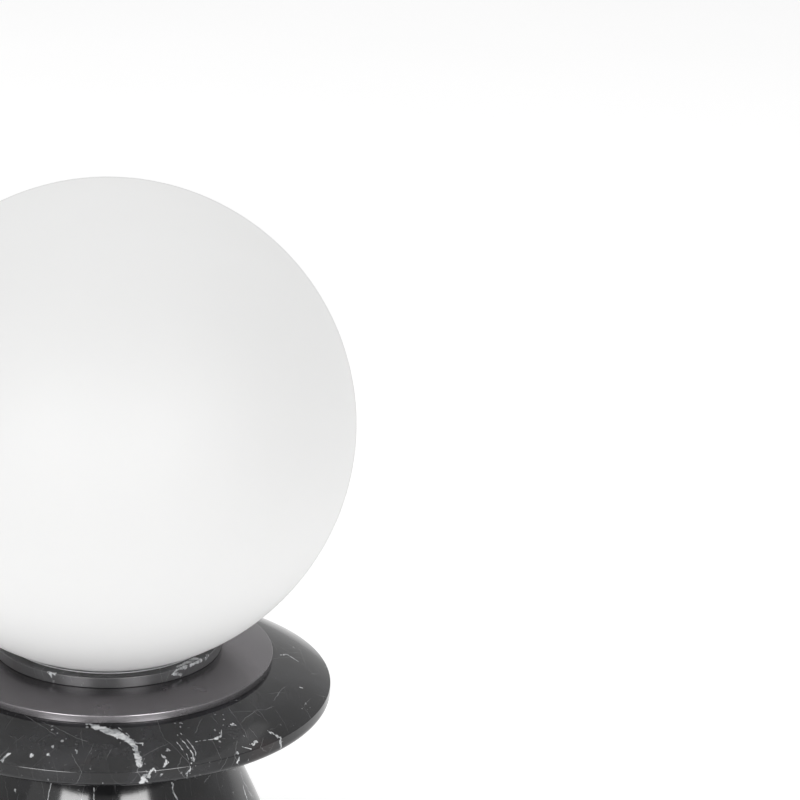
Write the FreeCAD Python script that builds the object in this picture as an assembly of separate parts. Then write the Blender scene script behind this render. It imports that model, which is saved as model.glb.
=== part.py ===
import FreeCAD, Part
import math
import os

# Table lamp: an opal glass globe standing in a turned stone collar, on a satin metal plate,
# a stone disc and a flared stone body. Millimetres, +Z up, origin at the centre of the
# surface that the lamp stands on, cable inlet at +Y. One STEP file is written per piece.

V = FreeCAD.Vector
UP = V(0, 0, 1)
REAR = V(0, 1, 0)

# ---- Clearances ----
REST_CLEARANCE = 0.3        # between pieces that rest on each other but lift apart
FITTED_CLEARANCE = 0.1      # between pieces that are assembled once

# ---- Glass globe ----
GLOBE_DIAMETER = 200.0
GLASS_WALL = 2.5
NECK_DIAMETER = 68.0
NECK_LENGTH = 12.0
NECK_BLEND = 2.0
NECK_RIM_ROUND = 0.9
NECK_END_GAP = 1.6          # under the neck, to the floor of the plate's well

# ---- Stone collar and its gasket ----
COLLAR_DIAMETER = 94.6
COLLAR_HEIGHT = 4.5
COLLAR_RIM_WIDTH = 4.4
COLLAR_BORE_DIAMETER = 76.0
COLLAR_ARRIS = 0.35
GLASS_STANDOFF = 0.8        # the collar's inner edge stands this far under the glass
GASKET_THICKNESS = 1.1

# ---- Metal plate with its well ----
PLATE_DIAMETER = 137.4
PLATE_THICKNESS = 5.6
PLATE_RIM_THICKNESS = 3.3
PLATE_LAND_MARGIN = 0.5     # flat land that shows round the collar
PLATE_ARRIS = 0.3
WELL_CLEARANCE = 2.4        # between the glass neck and the well's wall
WELL_WALL = 1.8
WELL_FLOOR = 2.0

# ---- Stone disc ----
DISC_DIAMETER = 186.6
DISC_THICKNESS = 16.0
DISC_LAND_MARGIN = 0.6      # flat land that shows round the plate
DISC_RIDGE_DROP = 9.3       # from the disc's top to the ridge
DISC_TOP_BULGE = 1.2        # how far the sloping top bows out of straight
DISC_RIDGE_ROUND = 0.5
DISC_UNDER_ROUND = 3.5

# ---- Stone body ----
BODY_HEIGHT = 125.0
BODY_TOP_DIAMETER = 74.0
BODY_FOOT_DIAMETER = 176.0
BODY_BULGE = 6.8            # how far the flank bows out of straight
BODY_FOOT_ROUND = 2.5
BODY_TOP_ROUND = 0.8
TUBE_BORE_DIAMETER = 11.0
BASE_RECESS_DIAMETER = 104.0
BASE_RECESS_DEPTH = 26.0

# ---- Tie tube, washers and nuts ----
TUBE_DIAMETER = 10.0
TUBE_INNER_DIAMETER = 7.2
TUBE_END_STANDOUT = 1.0     # past the last nut at each end
NUT_ACROSS_FLATS = 14.0
TOP_NUT_HEIGHT = 4.0
BASE_NUT_HEIGHT = 6.0
BRACKET_NUT_HEIGHT = 3.0
NUT_CHAMFER = 0.6
LOCK_WASHER_DIAMETER = 17.0
LOCK_WASHER_THICKNESS = 0.8
LOCK_WASHER_TEETH = 12
LOCK_TOOTH_DEPTH = 1.6
BASE_WASHER_DIAMETER = 36.0
BASE_WASHER_THICKNESS = 2.0
CUSHION_DIAMETER = 32.0
CUSHION_THICKNESS = 1.5
BUSH_WALL = 0.6
BUSH_FLANGE_THICKNESS = 0.8
BUSH_SLEEVE_LENGTH = 6.0

# ---- Spring gallery that steadies the globe's neck ----
SPRING_THICKNESS = 0.7
SPRING_HUB_DIAMETER = 46.0
LEAF_COUNT = 3
LEAF_WIDTH = 9.0
LEAF_LEAN = 18.0            # degrees off upright, below and above the bow
LEAF_BOW_RADIUS = 6.0
LEAF_BOW_HEIGHT = 8.5
LEAF_TIP_HEIGHT = 6.0
LEAF_ROOT_RADIUS = 1.6
LEAF_LAP = 5.0              # length of each leaf's root inside the hub
HUB_WINDOW_DIAMETER = 9.0
HUB_WINDOW_CIRCLE = 30.0

# ---- Lampholder and its bracket ----
BRACKET_SPAN = 30.0
BRACKET_HEIGHT = 15.0
BRACKET_WIDTH = 12.0
BRACKET_THICKNESS = 1.0
BRACKET_BEND = 1.6
BRACKET_TAB = 8.0
HOLDER_LENGTH = 30.0
HOLDER_DEPTH = 14.0
HOLDER_SHOULDER_HEIGHT = 9.0
HOLDER_TOWER_GAP = 0.5      # between the tower and the screw heads beside it
HOLDER_TOWER_HEIGHT = 9.0
HOLDER_CORNER = 2.0
HOLDER_SCREW_SPACING = 22.0
HOLDER_SCREW_DIAMETER = 3.0
HOLDER_SCREW_HEAD_DIAMETER = 5.2
HOLDER_SCREW_HEAD_HEIGHT = 1.8
HOLDER_SCREW_TAIL = 2.0
POCKET_LENGTH = 13.0
POCKET_DEPTH = 6.0
POCKET_HEIGHT = 2.0
CONTACT_THICKNESS = 0.4
CONTACT_WIDTH = 3.2
CONTACT_TIP_DROP = 1.5      # below the top of the holder
CONTACT_SPLIT = 1.6         # gap between the two contacts' feet

# ---- Plug-in bulb ----
PIN_SPACING = 9.0
PIN_WIRE_DIAMETER = 0.8
PIN_LOOP_WIDTH = 2.0
PIN_LENGTH = 7.5
BULB_BLOCK_LENGTH = 15.0
BULB_BLOCK_DEPTH = 9.0
BULB_BLOCK_HEIGHT = 3.5
BULB_BASE_HEIGHT = 9.0
BULB_BASE_LOWER_DIAMETER = 14.0
BULB_DIAMETER = 17.0
BULB_ENVELOPE_LENGTH = 36.0
BULB_ENVELOPE_WALL = 0.8
BULB_CORE_WIDTH = 9.0
BULB_CORE_THICKNESS = 1.2
BULB_CORE_TOP_GAP = 5.0

# ---- Base cover, its fixings and the foot pad ----
COVER_DIAMETER = 120.0
COVER_THICKNESS = 2.0
COVER_SCREW_COUNT = 3
COVER_SCREW_CIRCLE = 112.0
COVER_SCREW_FIRST_ANGLE = 30.0
COVER_SCREW_DIAMETER = 4.0
COVER_SCREW_HEAD_DIAMETER = 7.6
COVER_SCREW_LENGTH = 9.0
INSERT_DIAMETER = 6.0
INSERT_LENGTH = 9.0
DRIVE_WIDTH = 0.9
DRIVE_DEPTH = 0.8
PAD_THICKNESS = 2.0
PAD_OUTER_DIAMETER = 166.0
PAD_INNER_DIAMETER = 128.0

# ---- Cable inlet ----
INLET_HEIGHT = 15.0
INLET_BORE_DIAMETER = 6.6
INLET_BUSH_DIAMETER = 9.0
INLET_FLANGE_DIAMETER = 13.0
INLET_FLANGE_THICKNESS = 1.5
INLET_SPOT_DEPTH = 1.2
INLET_FLANGE_ROUND = 0.6

# ---- Terminal block and inner leads ----
TERMINAL_WIDTH = 24.0
TERMINAL_LENGTH = 20.0
TERMINAL_HEIGHT = 14.0
TERMINAL_OFFSET = 18.0      # from the lamp's axis to the block's near face
TERMINAL_POLE_SPACING = 11.0
TERMINAL_CORNER = 1.0
BARREL_DIAMETER = 6.0
BARREL_BORE_DIAMETER = 3.0
BARREL_SETBACK = 2.0
TERMINAL_SCREW_DIAMETER = 2.6
TERMINAL_SCREW_LENGTH = 4.0
MOUNT_SCREW_DIAMETER = 3.0
MOUNT_SCREW_HEAD_DIAMETER = 5.0
MOUNT_SCREW_HEAD_HEIGHT = 1.6
LEAD_DIAMETER = 2.2
LEAD_SPACING = 3.2
LEAD_BEND = 5.0
LEAD_SPLAY_BEND = 12.0
LEAD_SPLAY_END = 11.0
LEAD_ENTRY = 7.0            # length of lead inside the terminal block, past the first screw

# ---- Radii and heights that follow from the sizes above ----
GLOBE_R = GLOBE_DIAMETER / 2
NECK_R = NECK_DIAMETER / 2
NECK_INNER_R = NECK_R - GLASS_WALL
TUBE_R = TUBE_DIAMETER / 2
BORE_R = TUBE_BORE_DIAMETER / 2
COLLAR_EDGE_R = COLLAR_DIAMETER / 2 - COLLAR_RIM_WIDTH
COLLAR_BORE_R = COLLAR_BORE_DIAMETER / 2
WELL_INNER_R = NECK_R + WELL_CLEARANCE
WELL_OUTER_R = WELL_INNER_R + WELL_WALL

BODY_BOTTOM = PAD_THICKNESS
BODY_TOP = BODY_BOTTOM + BODY_HEIGHT
DISC_TOP = BODY_TOP + DISC_THICKNESS
PLATE_TOP = DISC_TOP + PLATE_THICKNESS
COLLAR_TOP = PLATE_TOP + COLLAR_HEIGHT
GLOBE_CENTRE = COLLAR_TOP + GLASS_STANDOFF + math.sqrt(GLOBE_R ** 2 - COLLAR_EDGE_R ** 2)
NECK_ROOT = GLOBE_CENTRE - math.sqrt(GLOBE_R ** 2 - NECK_R ** 2)
NECK_END = NECK_ROOT - NECK_LENGTH
WELL_FLOOR_TOP = NECK_END - NECK_END_GAP
WELL_BOTTOM = WELL_FLOOR_TOP - WELL_FLOOR

LOCK_WASHER_BOTTOM = WELL_FLOOR_TOP + SPRING_THICKNESS
TOP_NUT_BOTTOM = LOCK_WASHER_BOTTOM + LOCK_WASHER_THICKNESS
BRACKET_BOTTOM = TOP_NUT_BOTTOM + TOP_NUT_HEIGHT
BRACKET_NUT_BOTTOM = BRACKET_BOTTOM + BRACKET_THICKNESS
TUBE_TOP = BRACKET_NUT_BOTTOM + BRACKET_NUT_HEIGHT + TUBE_END_STANDOUT
HOLDER_BOTTOM = BRACKET_BOTTOM + BRACKET_HEIGHT
HOLDER_SHOULDER = HOLDER_BOTTOM + HOLDER_SHOULDER_HEIGHT
HOLDER_TOP = HOLDER_SHOULDER + HOLDER_TOWER_HEIGHT
TOWER_LENGTH = HOLDER_SCREW_SPACING - HOLDER_SCREW_HEAD_DIAMETER - 2 * HOLDER_TOWER_GAP
POCKET_CEILING = HOLDER_BOTTOM + POCKET_HEIGHT
BULB_BASE_TOP = HOLDER_TOP + BULB_BLOCK_HEIGHT + BULB_BASE_HEIGHT

RECESS_CEILING = BODY_BOTTOM + BASE_RECESS_DEPTH
CUSHION_BOTTOM = RECESS_CEILING - CUSHION_THICKNESS
BASE_WASHER_BOTTOM = CUSHION_BOTTOM - BASE_WASHER_THICKNESS
BASE_NUT_BOTTOM = BASE_WASHER_BOTTOM - BASE_NUT_HEIGHT
TUBE_BOTTOM = BASE_NUT_BOTTOM - TUBE_END_STANDOUT
COVER_TOP = BODY_BOTTOM + COVER_THICKNESS
LEAD_LEVEL = COVER_TOP + TERMINAL_HEIGHT / 2
TERMINAL_HOLE_DIAMETER = TERMINAL_SCREW_DIAMETER + 2 * FITTED_CLEARANCE


# ---- Helpers ----

def point(radius, height):
    """A point of a turned profile."""
    return V(radius, 0, height)


def line(a, b):
    return Part.LineSegment(a, b).toShape()


def bowed(a, b, bulge):
    """Arc from a to b that bows to the left of the way from a to b."""
    along = (b - a).normalize()
    left = V(-along.z, 0, along.x)
    return Part.Arc(a, (a + b) * 0.5 + left * bulge, b).toShape()


def circle_point(radius, angle, centre_height):
    """Point of a circle about the axis, angle in radians up from straight down."""
    return point(radius * math.sin(angle), centre_height - radius * math.cos(angle))


def globe_arc(radius, start_angle, end_angle):
    """Arc of a circle about the globe's centre."""
    angles = (start_angle, (start_angle + end_angle) / 2, end_angle)
    return Part.Arc(*[circle_point(radius, angle, GLOBE_CENTRE) for angle in angles]).toShape()


def chain(points):
    """Straight edges through the points."""
    return [line(a, b) for a, b in zip(points, points[1:])]


def turned(edges):
    """Solid of revolution of a closed profile."""
    return Part.Face(Part.Wire(edges)).revolve(V(0, 0, 0), UP, 360)


def ring(outer_diameter, inner_diameter, bottom, height):
    tube = Part.makeCylinder(outer_diameter / 2, height, V(0, 0, bottom))
    return tube.cut(Part.makeCylinder(inner_diameter / 2, height, V(0, 0, bottom)))


def block(length, depth, bottom, height, x=0.0, y=0.0):
    """Box centred on x and y."""
    return Part.makeBox(length, depth, height, V(x - length / 2, y - depth / 2, bottom))


def round_ring(shape, radius, height, size, chamfer=False):
    """Round or chamfer the circular edge with this radius and height."""
    edges = []
    for edge in shape.Edges:
        if edge.Degenerated or not isinstance(edge.Curve, Part.Circle):
            continue
        if abs(edge.Curve.Radius - radius) < 1e-3 and abs(edge.Curve.Center.z - height) < 1e-3:
            edges.append(edge)
    if chamfer:
        return shape.makeChamfer(size, edges)
    return shape.makeFillet(size, edges)


def round_uprights(shape, size):
    """Round the straight vertical edges."""
    edges = [edge for edge in shape.Edges if abs(edge.tangentAt(edge.FirstParameter).z) > 0.999]
    return shape.makeFillet(size, edges)


def spaced(shape, count, first_angle=0.0):
    """The shape turned to evenly spaced places about the axis."""
    copies = []
    for index in range(count):
        copy = shape.copy()
        copy.rotate(V(0, 0, 0), UP, first_angle + index * 360.0 / count)
        copies.append(copy)
    return copies


def mirrored_pair(shape):
    """The shape and its mirror image in the plane x = 0."""
    return [shape, shape.mirror(V(0, 0, 0), V(1, 0, 0))]


def bent_path(points, bends):
    """Straight runs joined by tangent arcs, one bend radius for each inner point."""
    edges = []
    start = points[0]
    for before, corner, after, radius in zip(points, points[1:], points[2:], bends):
        back = (before - corner).normalize()
        ahead = (after - corner).normalize()
        half_turn = (math.pi - back.getAngle(ahead)) / 2
        reach = radius * math.tan(half_turn)
        arc_start = corner + back * reach
        arc_end = corner + ahead * reach
        inward = (back + ahead).normalize()
        middle = corner + inward * (radius / math.cos(half_turn) - radius)
        edges.append(line(start, arc_start))
        edges.append(Part.Arc(arc_start, middle, arc_end).toShape())
        start = arc_end
    edges.append(line(start, points[-1]))
    return Part.Wire(edges)


def swept(section, path):
    return path.makePipeShell([section], True, False)


def strip_section(start, direction, width_axis, width, thickness):
    """Rectangle across the start of a path."""
    across = width_axis * (width / 2)
    through = direction.cross(width_axis).normalize() * (thickness / 2)
    corners = [start + across + through, start - across + through]
    corners += [start - across - through, start + across - through]
    return Part.makePolygon(corners + corners[:1])


def hex_nut(bottom, height):
    across_corners = NUT_ACROSS_FLATS / math.cos(math.radians(30))
    corners = []
    for index in range(7):
        angle = math.radians(60 * index)
        corners.append(V(across_corners / 2 * math.cos(angle), across_corners / 2 * math.sin(angle), bottom))
    prism = Part.Face(Part.makePolygon(corners)).extrude(V(0, 0, height))
    crown = Part.makeCylinder(across_corners / 2, height, V(0, 0, bottom))
    for face_height in (bottom, bottom + height):
        crown = round_ring(crown, across_corners / 2, face_height, NUT_CHAMFER, chamfer=True)
    bore = Part.makeCylinder(TUBE_R + FITTED_CLEARANCE, height, V(0, 0, bottom))
    return prism.common(crown).cut(bore)


# ---- Globe and collar ----

def glass_globe():
    root_angle = math.asin(NECK_R / GLOBE_R)
    inner_globe_r = GLOBE_R - GLASS_WALL
    inner_angle = math.asin(NECK_INNER_R / inner_globe_r)
    inner_root = circle_point(inner_globe_r, inner_angle, GLOBE_CENTRE)
    outside = circle_point(GLOBE_R, root_angle, GLOBE_CENTRE)
    neck = [outside, point(NECK_R, NECK_END), point(NECK_INNER_R, NECK_END), inner_root]
    crown = [point(0, GLOBE_CENTRE + inner_globe_r), point(0, GLOBE_CENTRE + GLOBE_R)]
    edges = chain(neck) + [globe_arc(inner_globe_r, inner_angle, math.pi)]
    edges += chain(crown) + [globe_arc(GLOBE_R, math.pi, root_angle)]
    shape = turned(edges)
    shape = round_ring(shape, NECK_R, NECK_ROOT, NECK_BLEND)
    shape = round_ring(shape, NECK_R, NECK_END, NECK_RIM_ROUND)
    return round_ring(shape, NECK_INNER_R, NECK_END, NECK_RIM_ROUND)


def seat_point(radius):
    """Point of the collar's conical seat, which is square to the globe half way across it."""
    lean = math.asin((COLLAR_EDGE_R + COLLAR_BORE_R) / 2 / GLOBE_R)
    foot = circle_point(GLOBE_R + REST_CLEARANCE + GASKET_THICKNESS, lean, GLOBE_CENTRE)
    return point(radius, foot.z + (radius - foot.x) * math.tan(lean))


def seat_gasket():
    inner = COLLAR_BORE_R + FITTED_CLEARANCE
    outer = COLLAR_EDGE_R - FITTED_CLEARANCE
    face_r = GLOBE_R + REST_CLEARANCE
    inner_angle = math.asin(inner / face_r)
    outer_angle = math.asin(outer / face_r)
    bottom = [circle_point(face_r, inner_angle, GLOBE_CENTRE), seat_point(inner), seat_point(outer)]
    bottom.append(circle_point(face_r, outer_angle, GLOBE_CENTRE))
    return turned(chain(bottom) + [globe_arc(face_r, outer_angle, inner_angle)])


def marble_collar():
    outer = COLLAR_DIAMETER / 2
    profile = [point(COLLAR_BORE_R, PLATE_TOP), point(outer, PLATE_TOP), point(outer, COLLAR_TOP)]
    profile += [point(COLLAR_EDGE_R, COLLAR_TOP), seat_point(COLLAR_EDGE_R), seat_point(COLLAR_BORE_R)]
    shape = turned(chain(profile + profile[:1]))
    for height in (PLATE_TOP, COLLAR_TOP):
        shape = round_ring(shape, outer, height, COLLAR_ARRIS, chamfer=True)
    return shape


# ---- Plate, disc and body ----

def metal_plate():
    """Turned plate, gently domed outside the collar, with a well for the globe's neck."""
    outer = PLATE_DIAMETER / 2
    land = COLLAR_DIAMETER / 2 + PLATE_LAND_MARGIN
    rim_top = DISC_TOP + PLATE_RIM_THICKNESS
    drop = PLATE_TOP - rim_top
    dome_bulge = math.hypot(outer - land, drop) * drop / (outer - land) / 4
    inside = [point(land, PLATE_TOP), point(WELL_INNER_R, PLATE_TOP), point(WELL_INNER_R, WELL_FLOOR_TOP)]
    inside += [point(BORE_R, WELL_FLOOR_TOP), point(BORE_R, WELL_BOTTOM), point(WELL_OUTER_R, WELL_BOTTOM)]
    under = [point(WELL_OUTER_R, DISC_TOP), point(outer, DISC_TOP), point(outer, rim_top)]
    dome = bowed(point(outer, rim_top), point(land, PLATE_TOP), -dome_bulge)
    shape = turned(chain(inside + under) + [dome])
    shape = round_ring(shape, outer, DISC_TOP, PLATE_ARRIS, chamfer=True)
    return round_ring(shape, outer, rim_top, PLATE_ARRIS)


def marble_disc():
    """Turned disc: sloping top down to a ridge, upright lip and rounded underside."""
    outer = DISC_DIAMETER / 2
    land = PLATE_DIAMETER / 2 + DISC_LAND_MARGIN
    ridge = point(outer, DISC_TOP - DISC_RIDGE_DROP)
    top = bowed(ridge, point(land, DISC_TOP), -DISC_TOP_BULGE)
    recess_r = WELL_OUTER_R + FITTED_CLEARANCE
    inside = [point(land, DISC_TOP), point(recess_r, DISC_TOP), point(recess_r, WELL_BOTTOM)]
    inside += [point(BORE_R, WELL_BOTTOM), point(BORE_R, BODY_TOP), point(outer, BODY_TOP), ridge]
    shape = turned(chain(inside) + [top])
    shape = round_ring(shape, outer, BODY_TOP, DISC_UNDER_ROUND)
    return round_ring(shape, outer, ridge.z, DISC_RIDGE_ROUND)


def body_radius(height):
    """Outer radius of the body's bowed flank at a height."""
    foot = V(BODY_FOOT_DIAMETER / 2, 0, BODY_BOTTOM)
    top = V(BODY_TOP_DIAMETER / 2, 0, BODY_TOP)
    half_chord = (top - foot).Length / 2
    flank_r = (half_chord ** 2 + BODY_BULGE ** 2) / (2 * BODY_BULGE)
    along = (top - foot).normalize()
    centre = (top + foot) * 0.5 - V(along.z, 0, -along.x) * (flank_r - BODY_BULGE)
    return centre.x + math.sqrt(flank_r ** 2 - (height - centre.z) ** 2)


def insert_centre():
    return V(COVER_SCREW_CIRCLE / 2, 0, 0)


def marble_body():
    foot_r = BODY_FOOT_DIAMETER / 2
    top_r = BODY_TOP_DIAMETER / 2
    flank = bowed(point(foot_r, BODY_BOTTOM), point(top_r, BODY_TOP), -BODY_BULGE)
    inside = [point(top_r, BODY_TOP), point(0, BODY_TOP), point(0, BODY_BOTTOM), point(foot_r, BODY_BOTTOM)]
    shape = turned(chain(inside) + [flank])
    shape = round_ring(shape, foot_r, BODY_BOTTOM, BODY_FOOT_ROUND)
    shape = round_ring(shape, top_r, BODY_TOP, BODY_TOP_ROUND)
    recess = Part.makeCylinder(BASE_RECESS_DIAMETER / 2, BASE_RECESS_DEPTH, V(0, 0, BODY_BOTTOM))
    rebate_r = COVER_DIAMETER / 2 + REST_CLEARANCE
    rebate = Part.makeCylinder(rebate_r, COVER_THICKNESS, V(0, 0, BODY_BOTTOM))
    bore = Part.makeCylinder(BORE_R, BODY_HEIGHT, V(0, 0, BODY_BOTTOM))
    hole_r = INSERT_DIAMETER / 2 + FITTED_CLEARANCE
    hole = Part.makeCylinder(hole_r, INSERT_LENGTH, insert_centre() + V(0, 0, COVER_TOP))
    inlet_start = V(0, 0, INLET_HEIGHT)
    inlet = Part.makeCylinder(INLET_BUSH_DIAMETER / 2 + FITTED_CLEARANCE, foot_r, inlet_start, REAR)
    spot_start = V(0, inlet_seat(), INLET_HEIGHT)
    spot = Part.makeCylinder(INLET_FLANGE_DIAMETER / 2 + REST_CLEARANCE, foot_r, spot_start, REAR)
    cutters = [recess, rebate, bore, inlet, spot]
    cutters += spaced(hole, COVER_SCREW_COUNT, COVER_SCREW_FIRST_ANGLE)
    return shape.cut(cutters)


def inlet_seat():
    """Distance from the axis to the flat that the inlet bush's flange sits on."""
    return body_radius(INLET_HEIGHT) - INLET_SPOT_DEPTH


# ---- Tie tube and what it clamps ----

def tie_tube():
    return ring(TUBE_DIAMETER, TUBE_INNER_DIAMETER, TUBE_BOTTOM, TUBE_TOP - TUBE_BOTTOM)


def lock_washer():
    """Washer with teeth round its edge."""
    bore_d = TUBE_DIAMETER + 2 * FITTED_CLEARANCE
    shape = ring(LOCK_WASHER_DIAMETER, bore_d, LOCK_WASHER_BOTTOM, LOCK_WASHER_THICKNESS)
    pitch = math.pi * LOCK_WASHER_DIAMETER / LOCK_WASHER_TEETH
    outer = LOCK_WASHER_DIAMETER / 2
    notch = block(2 * LOCK_TOOTH_DEPTH, pitch / 2, LOCK_WASHER_BOTTOM, LOCK_WASHER_THICKNESS, x=outer)
    return shape.cut(spaced(notch, LOCK_WASHER_TEETH))


def tube_bush(flange_bottom, sleeve_bottom):
    """Plastic bush that keeps the leads off the tube's sharp end."""
    sleeve_d = TUBE_INNER_DIAMETER - 2 * FITTED_CLEARANCE
    bore_d = sleeve_d - 2 * BUSH_WALL
    flange = ring(TUBE_DIAMETER, bore_d, flange_bottom, BUSH_FLANGE_THICKNESS)
    return flange.fuse(ring(sleeve_d, bore_d, sleeve_bottom, BUSH_SLEEVE_LENGTH)).removeSplitter()


def tube_bushes():
    upper = tube_bush(TUBE_TOP, TUBE_TOP - BUSH_SLEEVE_LENGTH)
    lower = tube_bush(TUBE_BOTTOM - BUSH_FLANGE_THICKNESS, TUBE_BOTTOM)
    return Part.makeCompound([upper, lower])


def base_washer(diameter, thickness, bottom):
    return ring(diameter, TUBE_DIAMETER + 2 * FITTED_CLEARANCE, bottom, thickness)


# ---- Spring gallery ----

def leaf_spring():
    """One leaf: flat root, then up with a bow that stands just inside the glass neck."""
    floor = WELL_FLOOR_TOP + SPRING_THICKNESS / 2
    reach_r = NECK_INNER_R - REST_CLEARANCE
    face_r = math.sqrt(reach_r ** 2 - (LEAF_WIDTH / 2) ** 2)
    lean = math.radians(LEAF_LEAN)
    bow_r = LEAF_BOW_RADIUS - SPRING_THICKNESS / 2
    corner_r = face_r - SPRING_THICKNESS / 2 + bow_r * (1 / math.cos(lean) - 1)
    root = point(corner_r - LEAF_BOW_HEIGHT * math.tan(lean), floor)
    bow = point(corner_r, floor + LEAF_BOW_HEIGHT)
    tip = point(corner_r - LEAF_TIP_HEIGHT * math.tan(lean), bow.z + LEAF_TIP_HEIGHT)
    start = point(SPRING_HUB_DIAMETER / 2 - LEAF_LAP, floor)
    path = bent_path([start, root, bow, tip], [LEAF_ROOT_RADIUS, bow_r])
    section = strip_section(start, V(1, 0, 0), REAR, LEAF_WIDTH, SPRING_THICKNESS)
    return swept(section, path)


def globe_spring():
    """Pressed spring-steel gallery: a hub clamped by the top nut, with leaves and windows."""
    hub = Part.makeCylinder(SPRING_HUB_DIAMETER / 2, SPRING_THICKNESS, V(0, 0, WELL_FLOOR_TOP))
    bore = Part.makeCylinder(TUBE_R + FITTED_CLEARANCE, SPRING_THICKNESS, V(0, 0, WELL_FLOOR_TOP))
    window_centre = V(HUB_WINDOW_CIRCLE / 2, 0, WELL_FLOOR_TOP)
    window = Part.makeCylinder(HUB_WINDOW_DIAMETER / 2, SPRING_THICKNESS, window_centre)
    windows = spaced(window, LEAF_COUNT, 90.0 + 180.0 / LEAF_COUNT)
    hub = hub.cut([bore] + windows)
    return hub.fuse(spaced(leaf_spring(), LEAF_COUNT, 90.0)).removeSplitter()


# ---- Lampholder ----

def lampholder_bracket():
    """Bent strip: base on the tube, two uprights, tabs turned in under the lampholder."""
    half = (BRACKET_SPAN - BRACKET_THICKNESS) / 2
    low = BRACKET_BOTTOM + BRACKET_THICKNESS / 2
    high = HOLDER_BOTTOM - BRACKET_THICKNESS / 2
    tab_end = BRACKET_SPAN / 2 - BRACKET_TAB
    points = [point(-tab_end, high), point(-half, high), point(-half, low)]
    points += [point(half, low), point(half, high), point(tab_end, high)]
    path = bent_path(points, [BRACKET_BEND] * 4)
    section = strip_section(points[0], V(-1, 0, 0), REAR, BRACKET_WIDTH, BRACKET_THICKNESS)
    strip = swept(section, path)
    tube_hole = Part.makeCylinder(TUBE_R + FITTED_CLEARANCE, BRACKET_HEIGHT / 2, V(0, 0, BRACKET_BOTTOM))
    screw_r = HOLDER_SCREW_DIAMETER / 2 + FITTED_CLEARANCE
    hole_start = V(HOLDER_SCREW_SPACING / 2, 0, HOLDER_BOTTOM - 2 * BRACKET_THICKNESS)
    screw_hole = Part.makeCylinder(screw_r, 2 * BRACKET_THICKNESS, hole_start)
    return strip.cut([tube_hole] + mirrored_pair(screw_hole))


def slot_faces():
    """Distances from the axis to the inner and outer walls of a pin slot."""
    gap = PIN_WIRE_DIAMETER / 2 + REST_CLEARANCE
    return PIN_SPACING / 2 - gap, PIN_SPACING / 2 + gap + CONTACT_THICKNESS


def lampholder():
    """Ceramic body with screw shoulders, a tower with two pin slots and a wiring pocket."""
    base = block(HOLDER_LENGTH, HOLDER_DEPTH, HOLDER_BOTTOM, HOLDER_SHOULDER_HEIGHT)
    tower = block(TOWER_LENGTH, HOLDER_DEPTH, HOLDER_SHOULDER, HOLDER_TOWER_HEIGHT)
    shape = round_uprights(base, HOLDER_CORNER).fuse(round_uprights(tower, HOLDER_CORNER))
    inner, outer = slot_faces()
    slot_width = CONTACT_WIDTH + 2 * FITTED_CLEARANCE
    slot_height = HOLDER_TOP - POCKET_CEILING
    slot = block(outer - inner, slot_width, POCKET_CEILING, slot_height, x=(inner + outer) / 2)
    pocket = block(POCKET_LENGTH, POCKET_DEPTH, HOLDER_BOTTOM, POCKET_HEIGHT)
    screw_r = HOLDER_SCREW_DIAMETER / 2 + FITTED_CLEARANCE
    hole_start = V(HOLDER_SCREW_SPACING / 2, 0, HOLDER_BOTTOM)
    hole = Part.makeCylinder(screw_r, HOLDER_SHOULDER_HEIGHT, hole_start)
    return shape.cut([pocket] + mirrored_pair(slot) + mirrored_pair(hole)).removeSplitter()


def holder_screws():
    x = HOLDER_SCREW_SPACING / 2
    tail = HOLDER_BOTTOM - BRACKET_THICKNESS - HOLDER_SCREW_TAIL
    shank = Part.makeCylinder(HOLDER_SCREW_DIAMETER / 2, HOLDER_SHOULDER - tail, V(x, 0, tail))
    head_r = HOLDER_SCREW_HEAD_DIAMETER / 2
    head = Part.makeCylinder(head_r, HOLDER_SCREW_HEAD_HEIGHT, V(x, 0, HOLDER_SHOULDER))
    head_top = HOLDER_SHOULDER + HOLDER_SCREW_HEAD_HEIGHT
    head = round_ring(head, head_r, head_top, HOLDER_SCREW_HEAD_HEIGHT / 3)
    slot = block(HOLDER_SCREW_HEAD_DIAMETER, DRIVE_WIDTH, head_top - DRIVE_DEPTH, DRIVE_DEPTH, x=x)
    return Part.makeCompound(mirrored_pair(shank.fuse(head).cut(slot).removeSplitter()))


def socket_contacts():
    """Two spring strips beside the pins, each with a foot turned in to its lead."""
    outer = slot_faces()[1]
    foot_bottom = POCKET_CEILING - CONTACT_THICKNESS
    height = HOLDER_TOP - CONTACT_TIP_DROP - foot_bottom
    strip_x = outer - CONTACT_THICKNESS / 2
    strip = block(CONTACT_THICKNESS, CONTACT_WIDTH, foot_bottom, height, x=strip_x)
    foot_length = outer - CONTACT_SPLIT / 2
    foot_x = (outer + CONTACT_SPLIT / 2) / 2
    foot = block(foot_length, CONTACT_WIDTH, foot_bottom, CONTACT_THICKNESS, x=foot_x)
    return Part.makeCompound(mirrored_pair(strip.fuse(foot).removeSplitter()))


# ---- Bulb ----

def bulb_pins():
    """Two wire loops that push into the lampholder."""
    wire_r = PIN_WIRE_DIAMETER / 2
    half = PIN_LOOP_WIDTH / 2
    x = PIN_SPACING / 2
    loop_centre = HOLDER_TOP - PIN_LENGTH + half + wire_r
    left = line(V(x, -half, HOLDER_TOP), V(x, -half, loop_centre))
    loop = Part.Arc(V(x, -half, loop_centre), V(x, 0, loop_centre - half), V(x, half, loop_centre)).toShape()
    right = line(V(x, half, loop_centre), V(x, half, HOLDER_TOP))
    section = Part.Wire(Part.makeCircle(wire_r, V(x, -half, HOLDER_TOP), UP))
    return Part.makeCompound(mirrored_pair(swept(section, Part.Wire([left, loop, right]))))


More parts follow.
